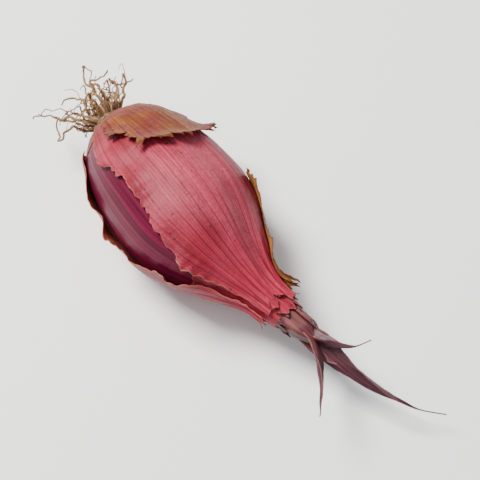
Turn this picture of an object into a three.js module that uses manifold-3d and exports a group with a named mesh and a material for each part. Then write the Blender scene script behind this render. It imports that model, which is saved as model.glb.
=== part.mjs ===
// A red onion set: a small onion bulb grown for planting out, lying on its side.
// Millimetres, +Z up. The neck points along +X and the root end along -X.
// The origin is the middle of the small flat spot that the bulb rests on.
//
// Places on the bulb are given by three numbers: how far along its axis from the root end,
// the angle round the axis (0 is the top, a quarter turn is the -Y flank), and how far
// out from the living bulb's surface.

import * as THREE from "three";
import { mergeVertices } from "three/addons/utils/BufferGeometryUtils.js";
import Module from "manifold-3d";

const wasm = await Module();
wasm.setup();

const TURN = 2 * Math.PI;

// How far along the axis, and the living bulb's radius there. Past the bulb's tip this is
// the hollow of the dry skin's collar.
const BULB_PROFILE = [
  [0, 3.1],
  [1.5, 5.2],
  [4, 7.3],
  [8, 9.1],
  [13, 10.3],
  [19, 10.8],
  [23, 10.45],
  [27, 9.0],
  [31, 6.6],
  [34.5, 4.4],
  [37.5, 2.95],
  [41, 2.25],
  [46, 2.0],
  [52, 1.9],
];
const BULB_TIP = 36.4;
const BULB_TIP_POINT = 37.8;
const ROOT_DIMPLE = 0.35;

// The section is a little flat and three-lobed between its two ends.
const OVAL = { size: 0.035, angle: 0.5 };
const LOBES = { size: 0.012, count: 3, phase: 1.1 };
const BODY_STARTS = [0, 10];
const BODY_ENDS = [26, 38];

// One soft crease runs where two hearts of the bulb meet.
const CREASE = { depth: 0.55, angle: -0.62, width: 0.24, starts: [6, 18], ends: [30, 40] };

// The neck bends to one side and droops a little.
const BEND = { reach: [24, 52], power: 1.5, side: 3.2, up: -1.2 };

// The slope at which the bulb's weight is over the flat spot.
const PITCH = THREE.MathUtils.degToRad(-2.4);
const FLAT_DEPTH = 0.36;

// Dry skins are drawn thicker than life, with a small gap between layers.
const SKIN = 0.6;
const GAP = 0.3;

// The dusty outer skin is ragged round the roots and ends in a torn collar round the neck.
const OUTER = { start: 1.7, startTear: 0.35, end: 41.3, endTear: 1.1, rib: 0.11 };
const COLLAR_FLARE = { size: 0.3, over: [38, 42] };

// It has split lengthwise on the upper -Y flank, widest at the belly and at the root end.
const SPLIT = { angle: 0.98, half: 0.13, atRoot: 0.42, rootFade: 3.5 };
const SPLIT_BELLY = { half: 0.34, along: 17, reach: 9 };
const SPLIT_TEAR = { size: 0.04, scale: 0.4, phases: [0.2, 1.3] };

// The skin lifts off the bulb in uneven lips along the split.
const LIPS = { lift: 0.85, fade: 26, waves: 0.9, waveShare: 0.5, starts: [0, 6], ends: [30, 38] };

// The waves that make up a torn edge.
const TEAR = { slow: 2.3, quick: 5.1, quickShare: 0.6, fine: 11.7, fineShare: 0.35, mean: 0.9 };

const COLOURS = {
  livingBulb: 0x5e1230,
  dustySkin: 0xa8505f,
  tanSkin: 0xb98049,
  dryLeaf: 0x6b4348,
  root: 0xb79a72,
};

function smoothStep(t) {
  const x = Math.min(1, Math.max(0, t));
  return x * x * (3 - 2 * x);
}

// Eases from 0 to 1 as x goes over a range.
function over([from, to], x) {
  return smoothStep((x - from) / (to - from));
}

// A smooth curve through the profile's points.
function profileRadius(along) {
  const points = BULB_PROFILE;
  const last = points.length - 1;
  let k = 0;
  while (k < last - 1 && along > points[k + 1][0]) {
    k += 1;
  }
  const slope = (i) => {
    const a = points[Math.max(0, i - 1)];
    const b = points[Math.min(last, i + 1)];
    return (b[1] - a[1]) / (b[0] - a[0]);
  };
  const [x0, y0] = points[k];
  const [x1, y1] = points[k + 1];
  const width = x1 - x0;
  const t = (along - x0) / width;
  return (
    y0 * (1 + 2 * t) * (1 - t) ** 2 +
    slope(k) * width * t * (1 - t) ** 2 +
    y1 * t * t * (3 - 2 * t) +
    slope(k + 1) * width * t * t * (t - 1)
  );
}

function angleFrom(angle, other) {
  return Math.atan2(Math.sin(angle - other), Math.cos(angle - other));
}

function bulbRadius(along, angle) {
  const body = over(BODY_STARTS, along) * (1 - over(BODY_ENDS, along));
  const oval = OVAL.size * Math.cos(2 * (angle - OVAL.angle));
  const lobes = LOBES.size * Math.sin(LOBES.count * angle + LOBES.phase);
  const crease = CREASE.depth * Math.exp(-((angleFrom(angle, CREASE.angle) / CREASE.width) ** 2));
  const creased = over(CREASE.starts, along) * (1 - over(CREASE.ends, along));
  return profileRadius(along) * (1 + (oval + lobes) * body) - crease * creased;
}

function axisOffset(along) {
  const bent = over(BEND.reach, along) ** BEND.power;
  return { side: BEND.side * bent, up: BEND.up * bent };
}

// A point given by its distance along the axis, and across it, in the lying bulb's frame.
function lying(along, side, up) {
  return new THREE.Vector3(
    along * Math.cos(PITCH) + up * Math.sin(PITCH),
    side,
    -along * Math.sin(PITCH) + up * Math.cos(PITCH),
  );
}

function surfacePoint(along, angle, out) {
  const radius = bulbRadius(along, angle) + out;
  const axis = axisOffset(along);
  return lying(along, axis.side - radius * Math.sin(angle), axis.up + radius * Math.cos(angle));
}

// The lowest point of the outer skin, before the flat spot is pressed into it. It is on the
// belly's underside.
function lowestPoint() {
  const belly = { from: 8, to: 30, step: 0.1 };
  const under = { from: 2.6, to: 3.7, step: 0.01 };
  const low = surfacePoint(belly.from, Math.PI, GAP + SKIN);
  for (let along = belly.from; along < belly.to; along += belly.step) {
    for (let angle = under.from; angle < under.to; angle += under.step) {
      const p = surfacePoint(along, angle, GAP + SKIN);
      if (p.z < low.z) {
        low.copy(p);
      }
    }
  }
  return low;
}

const LOW = lowestPoint();
const REST = new THREE.Vector3(-LOW.x, -LOW.y, -LOW.z - FLAT_DEPTH);

// Sets a point down where the bulb rests, no lower than the floor that its layer is pressed to.
function settled(point, floor) {
  const p = point.clone().add(REST);
  p.z = Math.max(p.z, floor);
  return p;
}

function geometryOf(points, triangles) {
  const positions = points.flatMap((p) => [p.x, p.y, p.z]);
  const geometry = new THREE.BufferGeometry();
  geometry.setAttribute("position", new THREE.Float32BufferAttribute(positions, 3));
  geometry.setIndex(triangles);
  return geometry;
}

// A closed solid through rings of points, with one point closing each end.
function ringsGeometry(rings, startPoint, endPoint) {
  const sides = rings[0].length;
  const points = [startPoint, ...rings.flat(), endPoint];
  const at = (ring, side) => 1 + ring * sides + (side % sides);
  const triangles = [];
  for (let s = 0; s < sides; s += 1) {
    triangles.push(0, at(0, s + 1), at(0, s));
    for (let r = 0; r + 1 < rings.length; r += 1) {
      triangles.push(at(r, s), at(r, s + 1), at(r + 1, s));
      triangles.push(at(r, s + 1), at(r + 1, s + 1), at(r + 1, s));
    }
    triangles.push(points.length - 1, at(rings.length - 1, s), at(rings.length - 1, s + 1));
  }
  return geometryOf(points, triangles);
}

// A closed sheet: an inner and an outer face over a grid of rows and columns, joined at the rim.
function sheetGeometry(rows, columns, pointAt) {
  const points = [];
  for (const face of [0, 1]) {
    for (let r = 0; r <= rows; r += 1) {
      for (let c = 0; c <= columns; c += 1) {
        points.push(pointAt(r / rows, c / columns, face, c));
      }
    }
  }
  const faceSize = (rows + 1) * (columns + 1);
  const at = (face, r, c) => face * faceSize + r * (columns + 1) + c;
  const triangles = [];
  const quad = (a, b, c, d) => triangles.push(a, b, c, a, c, d);
  for (let r = 0; r < rows; r += 1) {
    for (let c = 0; c < columns; c += 1) {
      quad(at(1, r, c), at(1, r, c + 1), at(1, r + 1, c + 1), at(1, r + 1, c));
      quad(at(0, r, c), at(0, r + 1, c), at(0, r + 1, c + 1), at(0, r, c + 1));
    }
  }
  for (let r = 0; r < rows; r += 1) {
    quad(at(0, r, 0), at(1, r, 0), at(1, r + 1, 0), at(0, r + 1, 0));
    quad(at(0, r + 1, columns), at(1, r + 1, columns), at(1, r, columns), at(0, r, columns));
  }
  for (let c = 0; c < columns; c += 1) {
    quad(at(0, 0, c + 1), at(1, 0, c + 1), at(1, 0, c), at(0, 0, c));
    quad(at(0, rows, c), at(1, rows, c), at(1, rows, c + 1), at(0, rows, c + 1));
  }
  return geometryOf(points, triangles);
}

function solidOf(geometry) {
  const bare = geometry.clone();
  bare.deleteAttribute("normal");
  bare.deleteAttribute("uv");
  const merged = mergeVertices(bare, 1e-4);
  return new wasm.Manifold(
    new wasm.Mesh({
      numProp: 3,
      vertProperties: new Float32Array(merged.attributes.position.array),
      triVerts: new Uint32Array(merged.index.array),
    }),
  );
}

// One solid from several that run into each other, with any pocket sealed between them filled.
function joined(geometries) {
  const whole = geometries.map(solidOf).reduce((a, b) => a.add(b));
  const outside = whole.decompose().reduce((a, b) => (a.volume() > b.volume() ? a : b));
  const mesh = outside.getMesh();
  const geometry = new THREE.BufferGeometry();
  geometry.setAttribute("position", new THREE.BufferAttribute(mesh.vertProperties, 3));
  geometry.setIndex(new THREE.BufferAttribute(mesh.triVerts, 1));
  return geometry;
}

// A torn edge: an uneven zigzag about 0, of about the given size.
function torn(x, size, phase) {
  const slow = Math.abs(Math.sin(x * TEAR.slow + phase));
  const quick = TEAR.quickShare * Math.abs(Math.sin(x * TEAR.quick + 2 * phase));
  const fine = TEAR.fineShare * Math.sin(x * TEAR.fine + 3 * phase);
  return size * (slow + quick + fine - TEAR.mean);
}

// The living bulb, closed at its tip inside the neck and dished where the roots grow.
function livingBulb() {
  const rows = 30;
  const sides = 36;
  const crowding = 1.25;
  const rings = [];
  for (let r = 0; r <= rows; r += 1) {
    const along = BULB_TIP * (1 - (1 - r / rows) ** crowding);
    const ring = [];
    for (let s = 0; s < sides; s += 1) {
      ring.push(settled(surfacePoint(along, (s / sides) * TURN, 0), SKIN + GAP));
    }
    rings.push(ring);
  }
  const tip = axisOffset(BULB_TIP_POINT);
  const start = settled(lying(ROOT_DIMPLE, 0, 0), 0);
  const end = settled(lying(BULB_TIP_POINT, tip.side, tip.up), 0);
  return ringsGeometry(rings, start, end);
}

// Half the angle of the split in the outer skin.
function splitHalfAngle(along) {
  const { half, along: belly, reach } = SPLIT_BELLY;
  const atRoot = SPLIT.atRoot * Math.exp(-along / SPLIT.rootFade);
  return SPLIT.half + atRoot + half * Math.exp(-(((along - belly) / reach) ** 2));
}

// The dusty outer skin, ribbed lengthwise. It wraps the bulb but for the split, whose edges
// stand off a little, and narrows past the bulb's tip to a torn collar.
function outerSkin() {
  const rows = 34;
  const columns = 44;
  return sheetGeometry(rows, columns, (r, c, face, column) => {
    const around = SPLIT.angle + TURN * c;
    const startAt = OUTER.start + torn(around, OUTER.startTear, 0.4);
    const endAt = OUTER.end + torn(around, OUTER.endTear, 1.7);
    const along = startAt + (endAt - startAt) * r;
    const tear = torn(along * SPLIT_TEAR.scale, SPLIT_TEAR.size, SPLIT_TEAR.phases[c < 0.5 ? 0 : 1]);
    const half = splitHalfAngle(along) + tear;
    const angle = SPLIT.angle + half + (TURN - 2 * half) * c;
    const lipped = over(LIPS.starts, along) * (1 - over(LIPS.ends, along));
    const wave = 1 + LIPS.waveShare * Math.sin(along * LIPS.waves);
    const lift = LIPS.lift * Math.exp(-Math.min(c, 1 - c) * LIPS.fade) * lipped * wave;
    const flare = COLLAR_FLARE.size * over(COLLAR_FLARE.over, along);
    const rib = face === 1 && column % 2 === 1 ? OUTER.rib : 0;
    const out = GAP + lift + flare + face * (SKIN + rib);
    return settled(surfacePoint(along, angle, out), face === 1 ? 0 : SKIN);
  });
}

// What is left of an older, tan skin. Its margin is torn, and curls away from the bulb.
const REMNANT = { sideTear: 0.05, startTear: 0.3, endTear: 0.9, flatShare: 0.45 };

function tanRemnant(shape) {
  const { rows, columns, from, to, left, right, curl, phase } = shape;
  return sheetGeometry(rows, columns, (r, c, face) => {
    const angle0 = left(r) + torn(r * 6, REMNANT.sideTear, phase);
    const angle1 = right(r) + torn(r * 7, REMNANT.sideTear, phase + 1);
    const angle = angle0 + (angle1 - angle0) * c;
    const start = from + torn(c * 7, REMNANT.startTear, phase);
    const end = to(c) + torn(c * 8, REMNANT.endTear, phase + 2);
    const along = start + (end - start) * r;
    const toMargin = Math.max(2 * r - 1, Math.abs(2 * c - 1));
    const curled = Math.max(0, (toMargin - REMNANT.flatShare) / (1 - REMNANT.flatShare));
    const out = 2 * GAP + SKIN + OUTER.rib + curl * curled ** 2 + face * SKIN;
    return settled(surfacePoint(along, angle, out), 0);
  });
}

// The piece round the root end, on the top. It reaches furthest along its middle.
const ROOT_END_REMNANT = {
  rows: 14,
  columns: 18,
  from: 3.0,
  to: (c) => 10.5 + 3.2 * Math.sin(Math.PI * c),
  left: (r) => -1.75 + 0.35 * r,
  right: (r) => 0.35 - 0.3 * r,
  curl: 0.9,
  phase: 0.5,
};

// The strip that runs up the +Y shoulder and along the neck, where it spreads a little.
const NECK_REMNANT = {
  rows: 18,
  columns: 9,
  from: 22,
  to: () => 39.5,
  left: (r) => -2.05 - 0.1 * r,
  right: (r) => -1.15 - 0.05 * r + 0.25 * smoothStep(r * 1.5 - 0.5),
  curl: 0.7,
  phase: 1.9,
};

// The dry neck: the fluted, twisted core of old leaf bases that comes out of the collar.
const NECK = {
  start: 38.3,
  end: 48.2,
  point: 0.4,
  radius: 2.1,
  taper: 0.045,
  flutes: 5,
  fluteDepth: 0.16,
  twist: 0.27,
  closing: 0.45,
  closesOver: [46, 48.4],
};

// Dry leaf ends: each leaves the neck's core, bends and twists, and narrows to a point.
const LEAF = {
  root: 44.5,
  steps: 13,
  straight: 2.2,
  swing: 0.028,
  swingDrop: 0.3,
  shortening: 0.14,
  rootWidth: 0.6,
  widensOver: [0, 0.25],
  narrowing: 0.86,
  narrowingPower: 1.6,
  fold: 0.55,
  tip: 1.04,
};
const DRY_LEAVES = [
  { length: 19, width: 4.2, side: 0.1, up: -0.26, curl: 0.42, twist: 1.7, roll: 0.3 },
  { length: 10.5, width: 3.6, side: -0.24, up: -0.02, curl: -0.8, twist: -1.3, roll: 2.2 },
  { length: 7, width: 3.0, side: 0.16, up: 0.26, curl: 1.1, twist: 0.9, roll: 3.6 },
  { length: 4.5, width: 2.8, side: -0.16, up: -0.3, curl: 0.4, twist: 0.7, roll: 5.0 },
];

function neckRadius(along, angle) {
  const inNeck = along - NECK.start;
  const closed = 1 - NECK.closing * over(NECK.closesOver, along);
  const flute = NECK.fluteDepth * Math.cos(NECK.flutes * angle + NECK.twist * inNeck);
  return (NECK.radius - NECK.taper * inNeck + flute) * closed;
}

function neckCentre(along) {
  const axis = axisOffset(along);
  return settled(lying(along, axis.side, axis.up), 0);
}

function neckCore() {
  const sides = 20;
  const rows = 9;
  const rings = [];
  for (let r = 0; r <= rows; r += 1) {
    const along = NECK.start + ((NECK.end - NECK.start) * r) / rows;
    const axis = axisOffset(along);
    const ring = [];
    for (let s = 0; s < sides; s += 1) {
      const angle = (s / sides) * TURN;
      const radius = neckRadius(along, angle);
      const side = axis.side - radius * Math.sin(angle);
      ring.push(settled(lying(along, side, axis.up + radius * Math.cos(angle)), 0));
    }
    rings.push(ring);
  }
  return ringsGeometry(rings, neckCentre(NECK.start), neckCentre(NECK.end + NECK.point));
}

function leafRoute(leaf, t) {
  const s = (leaf.length + NECK.end - LEAF.root) * t;
  const spread = Math.max(0, s - LEAF.straight);
  const swing = leaf.curl * spread ** 2 * LEAF.swing;
  const axis = axisOffset(LEAF.root + s);
  return {
    along: LEAF.root + s * (1 - LEAF.shortening * Math.abs(leaf.curl) * t ** 2),
    side: axis.side + leaf.side * spread + swing,
    up: axis.up + leaf.up * spread - LEAF.swingDrop * swing,
  };
}

function leafHalfWidth(leaf, t) {
  const root = LEAF.rootWidth + (1 - LEAF.rootWidth) * over(LEAF.widensOver, t);
  return (leaf.width / 2) * root * (1 - LEAF.narrowing * t ** LEAF.narrowingPower);
}

// A leaf's section is a shallow V, folded along its middle.
function dryLeaf(leaf) {
  const rings = [];
  for (let k = 0; k <= LEAF.steps; k += 1) {
    const t = k / LEAF.steps;
    const at = leafRoute(leaf, t);
    const half = leafHalfWidth(leaf, t);
    const angle = leaf.roll + leaf.twist * t;
    const fold = LEAF.fold * half;
    const section = [
      [-half, 0],
      [0, -fold],
      [half, 0],
      [half, SKIN],
      [0, SKIN - fold],
      [-half, SKIN],
    ];
    const ring = section.map(([x, y]) => {
      const side = at.side + x * Math.cos(angle) - y * Math.sin(angle);
      const up = at.up + x * Math.sin(angle) + y * Math.cos(angle);
      return settled(lying(at.along, side, up), 0);
    });
    rings.push(ring);
  }
  const tip = leafRoute(leaf, LEAF.tip);
  const rootCentre = new THREE.Vector3();
  for (const p of rings[0]) {
    rootCentre.addScaledVector(p, 1 / rings[0].length);
  }
  return ringsGeometry(rings, rootCentre, settled(lying(tip.along, tip.side, tip.up), 0));
}

function dryNeck() {
  return joined([neckCore(), ...DRY_LEAVES.map(dryLeaf)]);
}

// The corky root plate: how far along its rings are, and how much of its radius each has.
const PLATE = { radius: 2.9, lump: 0.06, lumps: 5, lumpPhase: 0.7, face: -1.9, back: -0.35 };
const PLATE_RINGS = [
  { along: -1.7, share: 0.55 },
  { along: -1.15, share: 0.9 },
  { along: -0.35, share: 1 },
];

// Its dried roots start on a spiral, fan out and curl, no two alike.
const ROOTS = {
  count: 16,
  sides: 4,
  steps: 12,
  start: -0.9,
  thick: 0.42,
  taper: 0.12,
  clearance: 1.6,
  length: 7.5,
  longer: 5.5,
  startShare: 0.74,
  spread: 0.25,
  outerSpread: 0.62,
  drawIn: 0.32,
  reach: 0.86,
  reachLost: 0.34,
  curl: 1.7,
  curlPower: 1.6,
  wind: 3.9,
  windVaries: 1.7,
  swirl: 0.5,
  droop: 0.9,
};
const GOLDEN_ANGLE = Math.PI * (3 - Math.sqrt(5));

function rootRoute(index, t) {
  const share = (index + 0.5) / ROOTS.count;
  const length = ROOTS.length + ROOTS.longer * Math.abs(Math.sin(index * 2.7 + 0.6));
  const s = length * t;
  const curl = ROOTS.curl * Math.max(0, t) ** ROOTS.curlPower;
  const wound = 2 * t * (ROOTS.wind + ROOTS.windVaries * Math.sin(index * 1.9));
  const spread = (ROOTS.spread + ROOTS.outerSpread * share) * s * (1 - ROOTS.drawIn * t);
  const radius = ROOTS.startShare * PLATE.radius * Math.sqrt(share) + spread;
  const angle = index * GOLDEN_ANGLE + ROOTS.swirl * t * Math.sin(index * 3.1);
  return {
    along: ROOTS.start - s * (ROOTS.reach - ROOTS.reachLost * t) + curl * Math.sin(wound),
    side: -radius * Math.sin(angle) + curl * Math.cos(wound + index),
    up: radius * Math.cos(angle) + curl * Math.sin(wound + index) - ROOTS.droop * t ** 2,
  };
}

function rootCentre(index, t) {
  const at = rootRoute(index, t);
  const p = lying(at.along, at.side, at.up);
  p.z = Math.max(p.z, ROOTS.clearance - REST.z);
  return p;
}

function driedRoot(index) {
  const ahead = 0.02;
  const leaning = new THREE.Vector3(0.2, 0.5, 1);
  const rings = [];
  for (let k = 0; k <= ROOTS.steps; k += 1) {
    const t = k / ROOTS.steps;
    const centre = rootCentre(index, t);
    const tangent = rootCentre(index, t + ahead).sub(rootCentre(index, t - ahead)).normalize();
    const across = leaning.clone().cross(tangent).normalize();
    const upwards = tangent.clone().cross(across);
    const radius = ROOTS.thick - ROOTS.taper * t;
    const ring = Array.from({ length: ROOTS.sides }, (_, side) => {
      const angle = (side / ROOTS.sides) * TURN;
      const p = centre.clone().addScaledVector(across, radius * Math.cos(angle));
      return settled(p.addScaledVector(upwards, radius * Math.sin(angle)), 0);
    });
    rings.push(ring);
  }
  const start = settled(rootCentre(index, -ahead), 0);
  return ringsGeometry(rings, start, settled(rootCentre(index, 1 + ahead), 0));
}

function rootPlate() {
  const sides = 18;
  const rings = PLATE_RINGS.map(({ along, share }) =>
    Array.from({ length: sides }, (_, side) => {
      const angle = (side / sides) * TURN;
      const lump = PLATE.lump * Math.sin(PLATE.lumps * angle + PLATE.lumpPhase);
      const radius = share * PLATE.radius * (1 + lump);
      return settled(lying(along, -radius * Math.sin(angle), radius * Math.cos(angle)), 0);
    }),
  );
  const centreAt = (along) => settled(lying(along, 0, 0), 0);
  return ringsGeometry(rings, centreAt(PLATE.face), centreAt(PLATE.back));
}

function rootTuft() {
  const roots = Array.from({ length: ROOTS.count }, (_, index) => driedRoot(index));
  return joined([rootPlate(), ...roots]);
}

function named(name, geometry, colour, roughness) {
  const flat = geometry.index ? geometry.toNonIndexed() : geometry;
  flat.computeVertexNormals();
  const material = new THREE.MeshStandardMaterial({ color: colour, roughness, metalness: 0 });
  const mesh = new THREE.Mesh(flat, material);
  mesh.name = name;
  return mesh;
}

const onionSet = new THREE.Group();
onionSet.add(named("living_bulb", livingBulb(), COLOURS.livingBulb, 0.25));
onionSet.add(named("outer_skin", outerSkin(), COLOURS.dustySkin, 0.6));
onionSet.add(named("root_end_remnant", tanRemnant(ROOT_END_REMNANT), COLOURS.tanSkin, 0.5));
onionSet.add(named("neck_remnant", tanRemnant(NECK_REMNANT), COLOURS.tanSkin, 0.5));
onionSet.add(named("dry_neck", dryNeck(), COLOURS.dryLeaf, 0.7));
onionSet.add(named("root_tuft", rootTuft(), COLOURS.root, 0.85));

export default onionSet;
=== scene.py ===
"""A red onion set lying on its side: its fine forms and finishes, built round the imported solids.

Places on the bulb are given by three numbers, as on the solids: how far along its axis from
the root end, the angle round the axis (0 is the top, a quarter turn is the -Y flank), and how
far out from the living bulb's surface. Forms are worked out in millimetres, and their meshes
are made in metres.
"""

import logging
import math
from dataclasses import dataclass, replace
from enum import Enum

import bpy
import numpy as np
from mathutils import Matrix, Vector

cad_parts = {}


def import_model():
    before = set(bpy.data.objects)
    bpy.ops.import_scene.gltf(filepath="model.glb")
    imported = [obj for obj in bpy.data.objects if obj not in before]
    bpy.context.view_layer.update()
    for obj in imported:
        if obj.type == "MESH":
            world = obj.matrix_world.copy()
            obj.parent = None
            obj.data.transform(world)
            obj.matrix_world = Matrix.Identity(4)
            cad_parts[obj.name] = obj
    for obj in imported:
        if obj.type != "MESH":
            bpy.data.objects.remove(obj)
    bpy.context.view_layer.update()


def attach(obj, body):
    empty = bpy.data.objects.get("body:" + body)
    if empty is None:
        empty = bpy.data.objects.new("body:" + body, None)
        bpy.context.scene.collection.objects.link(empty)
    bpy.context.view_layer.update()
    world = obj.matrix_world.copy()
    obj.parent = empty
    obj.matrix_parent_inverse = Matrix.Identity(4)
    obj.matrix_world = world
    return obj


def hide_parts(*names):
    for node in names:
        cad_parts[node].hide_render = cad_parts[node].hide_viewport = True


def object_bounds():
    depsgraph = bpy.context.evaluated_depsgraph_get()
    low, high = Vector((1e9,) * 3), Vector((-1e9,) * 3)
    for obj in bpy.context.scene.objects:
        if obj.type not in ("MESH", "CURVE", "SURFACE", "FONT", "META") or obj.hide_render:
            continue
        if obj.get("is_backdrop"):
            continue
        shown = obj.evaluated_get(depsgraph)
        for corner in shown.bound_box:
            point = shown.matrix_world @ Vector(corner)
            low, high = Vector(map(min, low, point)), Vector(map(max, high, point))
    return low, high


LOG = logging.getLogger("onion_set")
MM = 0.001
TURN = 2.0 * math.pi
GOLDEN_ANGLE = math.pi * (3.0 - math.sqrt(5.0))
VEIN_WANDER = (0.16, 0.16, 0.05)
VEIN_PATCHES = (0.5, 0.5, 0.12)
BULB_GRAIN = 10.0
FAR_FROM_EDGE = 9.0
RANDOM_HEIGHTS = 509
NODES_PER_ROW = 12
NODE_PITCH = (190.0, -260.0)
RGBA = tuple[float, float, float, float]
Values = dict[str, object]
Array = np.ndarray
Socket = bpy.types.NodeSocket
Piece = bpy.types.Object
Tree = bpy.types.NodeTree


def smooth_step(t: Array | float) -> Array:
    """Eases from 0 to 1 as t goes from 0 to 1.

    Args:
        t: Any values.

    Returns:
        The eased values, 0 below the range and 1 above it.
    """
    x = np.clip(t, 0.0, 1.0)
    return x * x * (3.0 - 2.0 * x)


def torn(x: Array, size: float, phase: float) -> Array:
    """The uneven zigzag of a torn edge, about 0.

    Args:
        x: Places along the edge, in radians or millimetres.
        size: Roughly how far the edge wanders.
        phase: Which tear this is.

    Returns:
        How far the edge is from its mean line at each place.
    """
    wave = np.abs(np.sin(x * 2.3 + phase)) + 0.6 * np.abs(np.sin(x * 5.1 + 2 * phase))
    return size * (wave - 0.9 + 0.35 * np.sin(x * 11.7 + 3 * phase))


def ragged(x: Array, step: float, seed: int, sharp: float = 1.0) -> Array:
    """A torn edge's own unevenness: a seeded random height every step, joined by slopes.

    Args:
        x: Places along the edge, in radians or millimetres.
        step: How far apart the heights are.
        seed: Which tear this is.
        sharp: How steep the slopes are. Above 1, the edge is flat between them.

    Returns:
        Heights between -1 and 1.
    """
    heights = np.random.default_rng(seed).uniform(-1.0, 1.0, RANDOM_HEIGHTS)
    cell = np.floor(x / step).astype(int)
    t = smooth_step((x / step - cell - 0.5) * sharp + 0.5)
    after = heights[(cell + 1) % RANDOM_HEIGHTS]
    return heights[cell % RANDOM_HEIGHTS] * (1 - t) + after * t


def frayed(x: Array, step: float, seed: int) -> Array:
    """Fine tearing that is clean along some stretches of an edge, and frayed along others.

    Args:
        x: Places along the edge, in radians or millimetres.
        step: How wide a tooth is.
        seed: Which tear this is.

    Returns:
        How far the edge stands out at each place.
    """
    worn = np.clip(0.6 + ragged(x, 4.3 * step, seed + 2), 0.0, 1.3)
    return worn * (ragged(x, step, seed, 2.0) + 0.35 * ragged(x, step / 3, seed + 1))


def between_tears(
    t: Array, first: Array, last: Array, first_tear: Array, last_tear: Array
) -> Array:
    """Places from one torn edge of a layer to the other, whose tears fade within the layer.

    Args:
        t: Shares of the way from the first edge to the last.
        first: Where the first edge's mean line is.
        last: Where the last edge's mean line is.
        first_tear: How far the first edge is from its mean line.
        last_tear: How far the last edge is from its mean line.

    Returns:
        The places.
    """
    return first + (last - first) * t + first_tear * (1 - t) ** 3 + last_tear * t**3


def crowded(count: int, share: float = 0.1) -> Array:
    """Places from 0 to 1 that stand closer together near both ends.

    Args:
        count: How many places.
        share: How strongly they crowd. At 0 they are even.

    Returns:
        The places, in order.
    """
    t = np.linspace(0.0, 1.0, count)
    return t - share * np.sin(TURN * t)


def all_round(count: int) -> Array:
    """Even angles once round the axis, in a row."""
    return np.linspace(0.0, TURN, count, endpoint=False)[None, :]


def paint(code: str) -> RGBA:
    """Turns a six-digit sRGB colour into the linear colour that a socket takes.

    Args:
        code: The colour, such as "a8505f".

    Returns:
        Linear red, green, blue and an alpha of 1.
    """
    channels = [int(code[k : k + 2], 16) / 255.0 for k in (0, 2, 4)]
    linear = [c / 12.92 if c <= 0.04045 else ((c + 0.055) / 1.055) ** 2.4 for c in channels]
    return *linear, 1.0


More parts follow.
